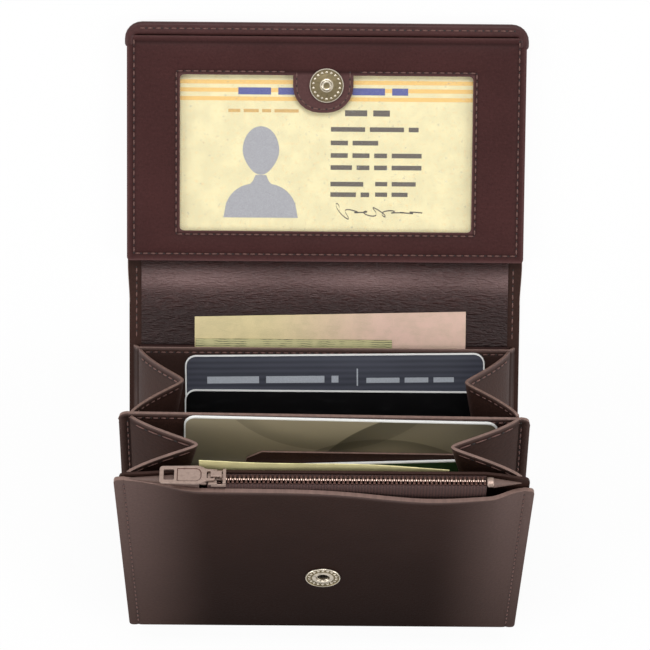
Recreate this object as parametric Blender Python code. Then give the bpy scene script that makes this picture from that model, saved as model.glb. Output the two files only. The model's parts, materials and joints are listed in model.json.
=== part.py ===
# Snap wallet, opened out: a leather shell that folds at two lines, an accordion of two leaves
# with gussets, a coin pouch with a zip, a flap with a windowed pocket, and a press-stud.
# Units are metres. X runs along the folds, Y from the pockets to the flap's free end, Z is up.

import math

import bmesh
import bpy
from mathutils import Matrix, Vector

HALF = 0.5

# Widths: the pockets are as wide as a card and its room, and the shell ends outside their seams
CARD_LENGTH = 0.0856
CARD_ROOM = 0.0102
SEAM_MARGIN = 0.003
REAR_GUSSET_DEPTH = 0.014
FRONT_GUSSET_DEPTH = 0.0195
GUSSET_SEAM = CARD_LENGTH * HALF + CARD_ROOM
PANEL_WIDTH = 2 * (GUSSET_SEAM + SEAM_MARGIN)
REAR_GUSSET_FOLD = GUSSET_SEAM - REAR_GUSSET_DEPTH
FRONT_GUSSET_FOLD = GUSSET_SEAM - FRONT_GUSSET_DEPTH

# Shell
SHELL_LEATHER = 0.0012
CORNER_RADIUS = 0.004
FOLD_GAP = 0.0004
FOLD_SKIVE = 0.00035
FLAP_OVERHANG = 0.0005
FLAP_WIDTH = PANEL_WIDTH + 2 * FLAP_OVERHANG
FLAP_LENGTH = 0.0688
FLAP_CLEARANCE = 0.001

# Gaps between neighbouring pieces
SEAT_GAP = 0.0003
SLIP_GAP = 0.00015
FLAT_GAP = 0.0001

# Linings
LINING_LEATHER = 0.0004
LINING_INSET = 0.0035
LINING_SEAT = 0.0002

# Leaves of the accordion
LEAF_TILT = math.radians(2.2)
MIDDLE_ANGLE = math.radians(33)
POUCH_ANGLE = math.radians(45)
DIVIDER_LEATHER = 0.0009
DIVIDER_START = 0.002
DIVIDER_TO_FOLD = 0.0009
DIVIDER_INSET = 0.0015
DIVIDER_WIDTH = PANEL_WIDTH - 2 * DIVIDER_INSET
DIVIDER_WALL = 0.0012
BILL_SPACE = 0.0005
MIDDLE_LENGTH = 0.0746
MIDDLE_START = 0.0006
MIDDLE_SETBACK = 0.001
LEAF_CORNER = 0.002

# Slot panel on the middle leaf
SLOT_LEATHER = 0.0006
SLOT_TOP = 0.062
SLOT_BOTTOM = 0.004
SLOT_RIM = 0.0012
SLOT_CUT_TOP = -0.0171
SLOT_CUT_SIDE = -0.0212
SLOT_CUT_DROP = 0.0024
SLOT_CUT_FOOT = -0.029
SLOT_CUT_LEVEL = 0.034

# Cards and notes
CARD_HEIGHT = 0.054
CARD_THICKNESS = 0.00076
CARD_CORNER = 0.003
NOTE_THICKNESS = 0.0004
THIN_NOTE_THICKNESS = 0.0002
SLATE_CARD_TOP = 0.0744
SLATE_CARD_X = 0.0034
BLACK_CARD_TOP = 0.064
BLACK_CARD_X = 0.003
PATTERN_CARD_DROP = 0.0011
PATTERN_CARD_X = 0.0041
GREEN_CARD_TOP = 0.0588
GREEN_CARD_X = 0.0012
GREEN_CARD_TURN = math.radians(1.5)
REAR_NOTE_LEFT = -0.0372
REAR_NOTE_RIGHT = 0.0405
REAR_NOTE_HEIGHT = 0.066
REAR_NOTE_RISE = 0.0075
REAR_NOTE_SLANT = 0.002
EDGE_NOTE_LEFT = -0.0369
EDGE_NOTE_RIGHT = 0.0194
EDGE_NOTE_HEIGHT = 0.05
EDGE_NOTE_RISE = 0.0012
FRONT_NOTE_WIDTH = 2 * FRONT_GUSSET_FOLD
FRONT_NOTE_HEIGHT = 0.062
FRONT_NOTE_TOP = 0.0753
FRONT_NOTE_SLANT = 0.0014

# Coin pouch
POUCH_WEDGE = math.radians(3)
POUCH_SETBACK = -0.0002
POUCH_REAR_LEATHER = 0.0008
POUCH_REAR_TOP = 0.073
POUCH_REAR_START = 0.0005
POUCH_REAR_INSET = 0.001
POUCH_REAR_WIDTH = PANEL_WIDTH - 2 * POUCH_REAR_INSET
POUCH_FRONT_TOP = 0.0748
POUCH_FRONT_DIP = 0.0036
POUCH_FRONT_FOOT = 0.0025
POUCH_FOOT_INSET = 0.0005
POUCH_TOP_OVERHANG = 0.0003
POUCH_SLOPE_WIDTH = 0.009
POUCH_FRONT_FOOT_WIDTH = PANEL_WIDTH - 2 * POUCH_FOOT_INSET
POUCH_FRONT_TOP_WIDTH = PANEL_WIDTH + 2 * POUCH_TOP_OVERHANG
POUCH_SEAM_WIDTH = 2 * GUSSET_SEAM
POUCH_FLAT_WIDTH = POUCH_SEAM_WIDTH - 2 * POUCH_SLOPE_WIDTH

# Zip
TOOTH_PITCH = 0.00118
TOOTH_WIDTH = 0.00085
TOOTH_REACH = 0.0014
TOOTH_ROOT = 0.0004
TOOTH_HEIGHT = 0.0016
TEETH_FROM_LEFT_SEAM = 0.0218
TEETH_FROM_RIGHT_SEAM = 0.0097
TEETH_LEFT = TEETH_FROM_LEFT_SEAM - GUSSET_SEAM
TEETH_RIGHT = GUSSET_SEAM - TEETH_FROM_RIGHT_SEAM
TEETH_FOOT = 0.0714
TAPE_THICKNESS = 0.0003
TAPE_DEPTH = 0.009
TAPE_FROM_SEAM = 0.0025
TAPE_END = GUSSET_SEAM - TAPE_FROM_SEAM
TAPE_GAP = 0.0001
STOP_LENGTH = 0.0018
SLIDER_LENGTH = 0.0046
SLIDER_WIDTH = 0.0048
SLIDER_PLATE = 0.0007
SLIDER_GAP = 0.0002
SLIDER_BASE_PLATE = 0.0005
BRIDGE_LENGTH = 0.003
BRIDGE_WIDTH = 0.0018
BRIDGE_WALL = 0.00045
BRIDGE_HEIGHT = 0.0016
PULL_LENGTH = 0.0148
PULL_WIDTH = 0.0054
PULL_THICKNESS = 0.0007
PULL_CORNER = 0.0009
PULL_HOLE_LENGTH = 0.003
PULL_HOLE_WIDTH = 0.0032
PULL_HOLE_INSET = 0.0012
PULL_EYE_LENGTH = 0.0017
PULL_EYE_WIDTH = 0.0028
PULL_EYE_BAR = 0.0006
PULL_AXIS_FROM_LEG = 0.00055

# Press-stud
SOCKET_ALONG = 0.0259
STUD_FROM_END = 0.0176
STUD_FLANGE_RADIUS = 0.0049
STUD_FLANGE = 0.00033
STUD_NECK_RADIUS = 0.0013
STUD_NECK = 0.00075
STUD_HEAD_RADIUS = 0.0016
STUD_HEAD = 0.0013
STUD_BORE_RADIUS = 0.00105
STUD_BORE_DEPTH = 0.0006
RIVET_RADIUS = 0.0034
RIVET_PLATE = 0.00025
RIVET_STEM_RADIUS = 0.0008
RIVET_HOLE_RADIUS = 0.0012
SOCKET_FLANGE_RADIUS = 0.00495
SOCKET_FLANGE = 0.0003
SOCKET_BORE_RADIUS = 0.00195
SOCKET_COLLAR_RADIUS = 0.0025
SOCKET_HOLE_RADIUS = 0.0028
SOCKET_WASHER_RADIUS = 0.0042
SOCKET_WASHER = 0.0003
SPRING_RADIUS = 0.00172
SPRING_WIRE_RADIUS = 0.00014
SPRING_GAP_ANGLE = math.radians(50)

# Flap
FLAP_FRAME_LEATHER = 0.00095
FLAP_WALL = 0.0012
FLAP_FRAME_START = 0.0011
FILM_THICKNESS = 0.00015
FILM_MARGIN = 0.0024
ROLL_DEPTH = 0.0037
ROLL_HEIGHT = 0.0043
ROLL_OVERHANG = 0.0006
ROLL_WIDTH = FLAP_WIDTH + 2 * ROLL_OVERHANG
ROLL_RADIUS = 0.0014
WINDOW_LAP = 0.0013
WINDOW_LENGTH = CARD_LENGTH - 2 * WINDOW_LAP
WINDOW_HEIGHT = 0.0443
WINDOW_FROM_END = 0.0148
WINDOW_RADIUS = 0.0012
TONGUE_LEFT = -0.0095
TONGUE_RIGHT = 0.0076
TONGUE_LENGTH = 0.0105
TONGUE_RADIUS = 0.005
ID_CARD_FROM_END = 0.0092

# Gussets and pleats
GUSSET_LEATHER = 0.0008
GUSSET_START = 0.0035
GUSSET_END_INSET = 0.0006
GUSSET_FOLD_POWER = 1.25
PLEAT_LEATHER = 0.0005
PLEAT_INSET = 0.001
PLEAT_WIDTH = 2 * (GUSSET_SEAM - PLEAT_INSET)
PLEAT_LEG = 0.003

# Fineness of the curved shapes
ROUND_STEPS = 6
TURN_STEPS = 32
SMOOTH_ANGLE = math.radians(40)
PANEL_COLUMNS = 28
PANEL_LEVELS = 9
GUSSET_COLUMNS = 12
GUSSET_LEVELS = 8
CUT_OVERRUN = 0.001
SLIVER = 0.0000001


def turned_point(along, off, angle):
    """Y and Z of a point given along a leaf and off its plane, from the leaf's own origin."""
    return Vector((
        0.0,
        along * math.cos(angle) - off * math.sin(angle),
        along * math.sin(angle) + off * math.cos(angle),
    ))


# Heights in the bill pocket, from the ground up
LINING_TOP = SHELL_LEATHER + LINING_SEAT + LINING_LEATHER
REAR_NOTE_Z = LINING_TOP + SLIP_GAP
EDGE_NOTE_Z = REAR_NOTE_Z + NOTE_THICKNESS + SLIP_GAP
DIVIDER_TOP_Z = LINING_TOP + BILL_SPACE + DIVIDER_LEATHER
DIVIDER_ORIGIN = Vector((0.0, DIVIDER_START, DIVIDER_TOP_Z))

# Distances off the bill divider and off the middle leaf, with the wallet closed
SLATE_CARD_OFF = SLIP_GAP
BLACK_CARD_OFF = SLATE_CARD_OFF + CARD_THICKNESS + SLIP_GAP
MIDDLE_OFF = BLACK_CARD_OFF + CARD_THICKNESS + SLIP_GAP + DIVIDER_LEATHER * HALF
PATTERN_CARD_OFF = DIVIDER_LEATHER * HALF + SLIP_GAP
SLOT_OFF = PATTERN_CARD_OFF + CARD_THICKNESS + SLIP_GAP
GREEN_CARD_OFF = SLOT_OFF + SLOT_LEATHER + SLIP_GAP
FRONT_NOTE_SPACE = NOTE_THICKNESS + SLIP_GAP
POUCH_OFF = GREEN_CARD_OFF + CARD_THICKNESS + SLIP_GAP + FRONT_NOTE_SPACE + POUCH_REAR_LEATHER * HALF

# Joint axes
MIDDLE_PIVOT = DIVIDER_ORIGIN + turned_point(MIDDLE_SETBACK, MIDDLE_OFF, LEAF_TILT)
POUCH_PIVOT = Vector((0.0, POUCH_SETBACK, POUCH_OFF))
POUCH_FRONT_OFF = POUCH_REAR_LEATHER * HALF + SEAT_GAP
CLOSED_POUCH_PIVOT = MIDDLE_PIVOT + turned_point(POUCH_SETBACK, POUCH_OFF, LEAF_TILT)
CLOSED_FACE_TILT = LEAF_TILT + POUCH_WEDGE
CLOSED_FACE = CLOSED_POUCH_PIVOT + turned_point(0.0, POUCH_FRONT_OFF, LEAF_TILT)
CLOSED_FACE = CLOSED_FACE + turned_point(0.0, SHELL_LEATHER, CLOSED_FACE_TILT)
CLOSED_SOCKET = CLOSED_FACE + turned_point(SOCKET_ALONG, 0.0, CLOSED_FACE_TILT)

# Heights in the flap, from the ground up
FLAP_LINING_Z = SHELL_LEATHER + FLAT_GAP
FLAP_LINING_LEATHER = LINING_LEATHER
ID_CARD_Z = FLAP_LINING_Z + FLAP_LINING_LEATHER + SLIP_GAP
FILM_Z = ID_CARD_Z + CARD_THICKNESS + FLAT_GAP
RIVET_Z = FILM_Z + FILM_THICKNESS + FLAT_GAP
FLAP_FRAME_Z = RIVET_Z + RIVET_PLATE + FLAT_GAP
FLAP_TOP_Z = FLAP_FRAME_Z + FLAP_FRAME_LEATHER

# The two folds of the shell: the flap comes down parallel to the pouch's face, stud over socket
FOLD_Z = SHELL_LEATHER * HALF
FLAP_TOP_OFF = FLAP_TOP_Z - FOLD_Z
STUD_ALONG = FLAP_LENGTH - STUD_FROM_END
BACK_FOLD_Y = (
    CLOSED_SOCKET.y
    + STUD_ALONG * math.cos(CLOSED_FACE_TILT)
    - (FLAP_TOP_OFF + FLAP_CLEARANCE) * math.sin(CLOSED_FACE_TILT)
)
FACE_HEIGHT_AT_FOLD = CLOSED_FACE.z + (BACK_FOLD_Y - CLOSED_FACE.y) * math.tan(CLOSED_FACE_TILT)
SPINE_LENGTH = (
    FACE_HEIGHT_AT_FOLD
    + (FLAP_TOP_OFF + FLAP_CLEARANCE) / math.cos(CLOSED_FACE_TILT)
    - FOLD_Z
)


def material(name, colour, roughness, metallic=0.0, alpha=1.0):
    made = bpy.data.materials.new(name)
    made.use_nodes = True
    made.diffuse_color = (*colour, 1.0)
    shader = made.node_tree.nodes["Principled BSDF"]
    shader.inputs["Base Color"].default_value = (*colour, 1.0)
    shader.inputs["Roughness"].default_value = roughness
    shader.inputs["Metallic"].default_value = metallic
    shader.inputs["Alpha"].default_value = alpha
    return made


def empty(name, parent, location, angle=0.0):
    """A hinge line along X: what turns on it is parented to it."""
    made = bpy.data.objects.new(name, None)
    bpy.context.scene.collection.objects.link(made)
    made.parent = parent
    made.location = location
    made.rotation_euler.x = angle
    return made


def finished(name, mesh_maker, parent, surface, location=(0.0, 0.0, 0.0)):
    """The object of a bmesh, with its faces turned outwards."""
    bmesh.ops.remove_doubles(mesh_maker, verts=mesh_maker.verts, dist=SLIVER)
    bmesh.ops.recalc_face_normals(mesh_maker, faces=mesh_maker.faces)
    mesh = bpy.data.meshes.new(name)
    mesh_maker.to_mesh(mesh)
    mesh_maker.free()
    mesh.materials.append(surface)
    made = bpy.data.objects.new(name, mesh)
    bpy.context.scene.collection.objects.link(made)
    made.parent = parent
    made.location = location
    return made


def rounded(corners):
    """The outline through (x, y, radius) corners, each rounded by an arc of its own radius."""
    points = []
    for index, (x, y, radius) in enumerate(corners):
        corner = Vector((x, y))
        before = Vector(corners[index - 1][:2]) - corner
        after = Vector(corners[(index + 1) % len(corners)][:2]) - corner
        if radius <= 0.0:
            points.append(corner)
            continue
        before.normalize()
        after.normalize()
        half_angle = before.angle(after) * HALF
        start = corner + before * (radius / math.tan(half_angle))
        centre = corner + (before + after).normalized() * (radius / math.sin(half_angle))
        swept = math.pi - 2 * half_angle
        turn = 1 if before.cross(after) < 0 else -1
        for step in range(ROUND_STEPS + 1):
            spoke = Matrix.Rotation(turn * swept * step / ROUND_STEPS, 2) @ (start - centre)
            points.append(centre + spoke)
    return points


def box_corners(left, right, low, high, low_radius=0.0, high_radius=0.0):
    return [
        (left, low, low_radius),
        (right, low, low_radius),
        (right, high, high_radius),
        (left, high, high_radius),
    ]


def slab(name, outline, low, high, parent, surface, holes=()):
    """A flat outline, with any holes, between two heights."""
    maker = bmesh.new()
    for loop in (outline, *holes):
        verts = [maker.verts.new((point[0], point[1], low)) for point in loop]
        for index, vert in enumerate(verts):
            maker.edges.new((verts[index - 1], vert))
    bmesh.ops.triangle_fill(maker, use_beauty=True, edges=maker.edges)
    raised = bmesh.ops.extrude_face_region(maker, geom=maker.faces)
    moved = [item for item in raised["geom"] if isinstance(item, bmesh.types.BMVert)]
    bmesh.ops.translate(maker, verts=moved, vec=(0.0, 0.0, high - low))
    return finished(name, maker, parent, surface)


def skive(panel, end, inwards):
    """Slants a panel's end at a fold: its upper edge stands back, so that the fold can close."""
    top = max(vert.co.z for vert in panel.data.vertices)
    for vert in panel.data.vertices:
        if abs(vert.co.y - end) < SLIVER and abs(vert.co.z - top) < SLIVER:
            vert.co.y += inwards * FOLD_SKIVE


def circle(x, y, radius):
    return [
        (
            x + radius * math.cos(2 * math.pi * step / TURN_STEPS),
            y + radius * math.sin(2 * math.pi * step / TURN_STEPS),
        )
        for step in range(TURN_STEPS)
    ]


def sheet(name, rows, parent, surface):
    """A sheet between two grids: each row lists (lower point, upper point) pairs."""
    maker = bmesh.new()
    grid = [[[maker.verts.new(point) for point in pair] for pair in row] for row in rows]
    across = len(grid[0])
    for i in range(len(grid) - 1):
        for j in range(across - 1):
            for side in (0, 1):
                maker.faces.new((
                    grid[i][j][side],
                    grid[i][j + 1][side],
                    grid[i + 1][j + 1][side],
                    grid[i + 1][j][side],
                ))
    rim = [grid[0][j] for j in range(across)]
    rim += [grid[i][-1] for i in range(1, len(grid))]
    rim += [grid[-1][j] for j in range(across - 2, -1, -1)]
    rim += [grid[i][0] for i in range(len(grid) - 2, 0, -1)]
    for index, pair in enumerate(rim):
        last = rim[index - 1]
        maker.faces.new((last[0], pair[0], pair[1], last[1]))
    return finished(name, maker, parent, surface)


def bar(name, section, half_length, parent, surface):
    """A section in Y and Z carried along X, the same to both sides."""
    maker = bmesh.new()
    face = maker.faces.new([maker.verts.new((-half_length, y, z)) for y, z in section])
    raised = bmesh.ops.extrude_face_region(maker, geom=[face])
    moved = [item for item in raised["geom"] if isinstance(item, bmesh.types.BMVert)]
    bmesh.ops.translate(maker, verts=moved, vec=(2 * half_length, 0.0, 0.0))
    return finished(name, maker, parent, surface)


def turned(name, profile, parent, surface, location):
    """A closed (radius, height) profile turned about its own Z axis."""
    maker = bmesh.new()
    verts = [maker.verts.new((radius, 0.0, height)) for radius, height in profile]
    for index, vert in enumerate(verts):
        maker.edges.new((verts[index - 1], vert))
    bmesh.ops.spin(
        maker,
        geom=[*maker.verts, *maker.edges],
        cent=(0.0, 0.0, 0.0),
        axis=(0.0, 0.0, 1.0),
        angle=2 * math.pi,
        steps=TURN_STEPS,
        use_merge=True,
    )
    bmesh.ops.dissolve_degenerate(maker, dist=SLIVER, edges=maker.edges)
    made = finished(name, maker, parent, surface, location)
    made.data.shade_smooth()
    made.data.set_sharp_from_angle(angle=SMOOTH_ANGLE)
    return made


def combined(target, tool, operation):
    """Joins a tool to its target, or cuts it out, and keeps the tool as a hidden helper."""
    tool.hide_render = True
    tool.display_type = "WIRE"
    change = target.modifiers.new(tool.name, "BOOLEAN")
    change.operation = operation
    change.object = tool


def prism(name, low_outline, high_outline, parent, surface):
    """A solid between two outlines of equally many 3-D points."""
    maker = bmesh.new()
    low = [maker.verts.new(point) for point in low_outline]
    high = [maker.verts.new(point) for point in high_outline]
    maker.faces.new(low[::-1])
    maker.faces.new(high)
    for index in range(len(low)):
        maker.faces.new((low[index - 1], low[index], high[index], high[index - 1]))
    return finished(name, maker, parent, surface)


def make_shell(root, spine, flap, leather, lining):
    half = PANEL_WIDTH * HALF
    back = slab(
        "back_panel",
        rounded(box_corners(-half, half, 0.0, BACK_FOLD_Y - FOLD_GAP, CORNER_RADIUS)),
        0.0, SHELL_LEATHER, root, leather,
    )
    skive(back, BACK_FOLD_Y - FOLD_GAP, -1)
    inner = DIVIDER_WIDTH * HALF - DIVIDER_WALL - SEAT_GAP
    slab(
        "back_lining",
        rounded(box_corners(
            -inner, inner, DIVIDER_START + DIVIDER_WALL + SEAT_GAP, BACK_FOLD_Y - FOLD_GAP * 2,
        )),
        SHELL_LEATHER + LINING_SEAT, LINING_TOP, root, lining,
    )
    middle = slab(
        "spine_panel",
        rounded(box_corners(-half, half, FOLD_GAP, SPINE_LENGTH - FOLD_GAP)),
        -FOLD_Z, SHELL_LEATHER - FOLD_Z, spine, leather,
    )
    skive(middle, FOLD_GAP, 1)
    skive(middle, SPINE_LENGTH - FOLD_GAP, -1)
    lining_half = half - LINING_INSET
    slab(
        "spine_lining",
        rounded(box_corners(-lining_half, lining_half, FOLD_GAP * 2, SPINE_LENGTH - FOLD_GAP * 2)),
        SHELL_LEATHER + FLAT_GAP - FOLD_Z, SHELL_LEATHER + FLAT_GAP + LINING_LEATHER - FOLD_Z,
        spine, lining,
    )
    flap_half = FLAP_WIDTH * HALF
    front = slab(
        "flap_panel",
        rounded(box_corners(-flap_half, flap_half, FOLD_GAP, FLAP_LENGTH - ROLL_DEPTH - SEAT_GAP)),
        -FOLD_Z, SHELL_LEATHER - FOLD_Z, flap, leather,
    )
    skive(front, FOLD_GAP, 1)


def make_bill_divider(root, leather):
    """A sheet that rises towards its mouth, with walls down to the shell on three sides."""
    half = DIVIDER_WIDTH * HALF
    length = (BACK_FOLD_Y - DIVIDER_TO_FOLD - DIVIDER_START) / math.cos(LEAF_TILT)
    foot = SHELL_LEATHER + SEAT_GAP

    def section(x, along, off):
        point = DIVIDER_ORIGIN + turned_point(along, off, LEAF_TILT)
        return (x, point.y, point.z)

    def wedge(name, inset, overrun, start, off):
        edge = half - inset
        floor = foot - overrun
        start_y = DIVIDER_START + start
        end_y = section(0.0, length + overrun, 0.0)[1]
        tops = [section(edge, start, off), section(edge, length + overrun, off)]
        right = [(edge, start_y, floor), (edge, end_y, floor), (edge, end_y, tops[1][2])]
        right.append((edge, start_y, tops[0][2]))
        left = [(-edge, y, z) for _, y, z in right]
        return prism(name, left, right, root, leather)

    divider = wedge("bill_divider", 0.0, 0.0, 0.0, 0.0)
    pocket = wedge("bill_pocket_cut", DIVIDER_WALL, CUT_OVERRUN, DIVIDER_WALL, -DIVIDER_LEATHER)
    combined(divider, pocket, "DIFFERENCE")


def make_card(name, x, top, off, frame, surface, turn=0.0):
    """A card standing in its pocket, given by the middle of its top edge and its lower face."""
    half = CARD_LENGTH * HALF
    outline = rounded(box_corners(-half, half, -CARD_HEIGHT, 0.0, CARD_CORNER, CARD_CORNER))
    placed = [Matrix.Rotation(turn, 2) @ point + Vector((x, top)) for point in outline]
    slab(name, placed, off, off + CARD_THICKNESS, frame, surface)


def make_rear_contents(root, divider_frame, paper, slate, black):
    top = BACK_FOLD_Y + REAR_NOTE_RISE
    slab(
        "rear_note",
        [
            (REAR_NOTE_LEFT, top - REAR_NOTE_HEIGHT),
            (REAR_NOTE_RIGHT, top - REAR_NOTE_HEIGHT),
            (REAR_NOTE_RIGHT, top + REAR_NOTE_SLANT),
            (REAR_NOTE_LEFT, top),
        ],
        REAR_NOTE_Z, REAR_NOTE_Z + NOTE_THICKNESS, root, paper,
    )
    top = BACK_FOLD_Y + EDGE_NOTE_RISE
    slab(
        "edge_note",
        rounded(box_corners(EDGE_NOTE_LEFT, EDGE_NOTE_RIGHT, top - EDGE_NOTE_HEIGHT, top)),
        EDGE_NOTE_Z, EDGE_NOTE_Z + THIN_NOTE_THICKNESS, root, paper,
    )
    make_card("slate_card", SLATE_CARD_X, SLATE_CARD_TOP, SLATE_CARD_OFF, divider_frame, slate)
    make_card("black_card", BLACK_CARD_X, BLACK_CARD_TOP, BLACK_CARD_OFF, divider_frame, black)


def make_middle_leaf(middle, leather, thin_leather, pattern, green):
    half = PANEL_WIDTH * HALF
    slab(
        "middle_panel",
        rounded(box_corners(-half, half, MIDDLE_START, MIDDLE_LENGTH, 0.0, LEAF_CORNER)),
        -DIVIDER_LEATHER * HALF, DIVIDER_LEATHER * HALF, middle, leather,
    )
    card_top = MIDDLE_LENGTH - PATTERN_CARD_DROP
    make_card("pattern_card", PATTERN_CARD_X, card_top, PATTERN_CARD_OFF, middle, pattern)
    make_card(
        "green_card", GREEN_CARD_X, GREEN_CARD_TOP, GREEN_CARD_OFF, middle, green,
        GREEN_CARD_TURN,
    )
    side = PATTERN_CARD_X + CARD_LENGTH * HALF + SLIP_GAP + SLOT_RIM
    outline = [
        (-side, SLOT_BOTTOM, 0.0),
        (side, SLOT_BOTTOM, 0.0),
        (side, SLOT_TOP, 0.0),
        (SLOT_CUT_TOP, SLOT_TOP, 0.0),
        (SLOT_CUT_SIDE, SLOT_TOP - SLOT_CUT_DROP, 0.0),
        (SLOT_CUT_FOOT, SLOT_CUT_LEVEL, 0.0),
        (-side, SLOT_CUT_LEVEL - SLOT_CUT_DROP, 0.0),
    ]
    panel = slab(
        "slot_panel", rounded(outline), SLOT_OFF, SLOT_OFF + SLOT_LEATHER, middle, thin_leather,
    )
    inner = side - SLOT_RIM
    inner_foot = SLOT_BOTTOM + SLOT_RIM
    left_top = SLOT_CUT_LEVEL - SLOT_CUT_DROP
    rim = slab(
        "slot_rim",
        [
            (-side, SLOT_BOTTOM), (side, SLOT_BOTTOM), (side, SLOT_TOP), (inner, SLOT_TOP),
            (inner, inner_foot), (-inner, inner_foot), (-inner, left_top), (-side, left_top),
        ],
        PATTERN_CARD_OFF, SLOT_OFF + SLOT_LEATHER * HALF, middle, thin_leather,
    )
    combined(panel, rim, "UNION")


def front_face(x_share, along):
    """How far the pouch's front stands off its seam: a pillow, flat in its middle."""
    fullness = min(max((1 - abs(x_share)) / (1 - POUCH_FLAT_WIDTH / POUCH_SEAM_WIDTH), 0.0), 1.0)
    fullness = fullness * fullness * (3 - 2 * fullness)
    return max(along, 0.0) * math.sin(POUCH_WEDGE) * fullness


def make_coin_pouch(pouch, front, leather, thin_leather):
    half = POUCH_REAR_WIDTH * HALF
    slab(
        "pouch_rear_wall",
        rounded(box_corners(-half, half, POUCH_REAR_START, POUCH_REAR_TOP, 0.0, LEAF_CORNER)),
        -POUCH_REAR_LEATHER * HALF, POUCH_REAR_LEATHER * HALF, pouch, thin_leather,
    )
    rows = []
    for i in range(PANEL_LEVELS + 1):
        share = i / PANEL_LEVELS
        row = []
        for j in range(PANEL_COLUMNS + 1):
            side = 2 * j / PANEL_COLUMNS - 1
            width = POUCH_FRONT_FOOT_WIDTH + (POUCH_FRONT_TOP_WIDTH - POUCH_FRONT_FOOT_WIDTH) * share
            x = side * width * HALF
            dip = POUCH_FRONT_DIP * (1 - side ** 4)
            along = -POUCH_FRONT_FOOT + (POUCH_FRONT_TOP - dip + POUCH_FRONT_FOOT) * share
            off = POUCH_FRONT_OFF + front_face(x / (POUCH_SEAM_WIDTH * HALF), along)
            row.append(((x, along, off), (x, along, off + SHELL_LEATHER)))
        rows.append(row)
    panel = sheet("pouch_front_panel", rows, pouch, leather)
    hole = slab(
        "socket_hole_cut", circle(0.0, SOCKET_ALONG, SOCKET_HOLE_RADIUS),
        -CUT_OVERRUN, SHELL_LEATHER + CUT_OVERRUN, front, leather,
    )
    combined(panel, hole, "DIFFERENCE")


def zip_centre():
    """The middle of the pouch's mouth, off the rear wall's plane."""
    mouth = POUCH_FRONT_OFF + TEETH_FOOT * math.sin(POUCH_WEDGE)
    return (POUCH_REAR_LEATHER * HALF + mouth) * HALF


def tooth_row(name, side, pouch, metal):
    """One row: a strip with every second tooth of the chain on it, pointing to the other row."""
    count = int((TEETH_RIGHT - TEETH_LEFT) / (2 * TOOTH_PITCH))
    tip = zip_centre() - side * TOOTH_REACH * HALF
    root = tip + side * TOOTH_REACH
    back = root + side * TOOTH_ROOT
    start = TEETH_LEFT + (TOOTH_PITCH if side > 0 else 0.0)
    points = [(TEETH_LEFT, back), (TEETH_LEFT, root)]
    for index in range(count):
        left = start + (2 * index + HALF) * TOOTH_PITCH - TOOTH_WIDTH * HALF
        right = left + TOOTH_WIDTH
        points += [(left, root), (left, tip), (right, tip), (right, root)]
    points += [(TEETH_RIGHT, root), (TEETH_RIGHT, back)]
    low = [(x, TEETH_FOOT, z) for x, z in points]
    high = [(x, TEETH_FOOT + TOOTH_HEIGHT, z) for x, z in points]
    prism(name, low, high, pouch, metal)


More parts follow.
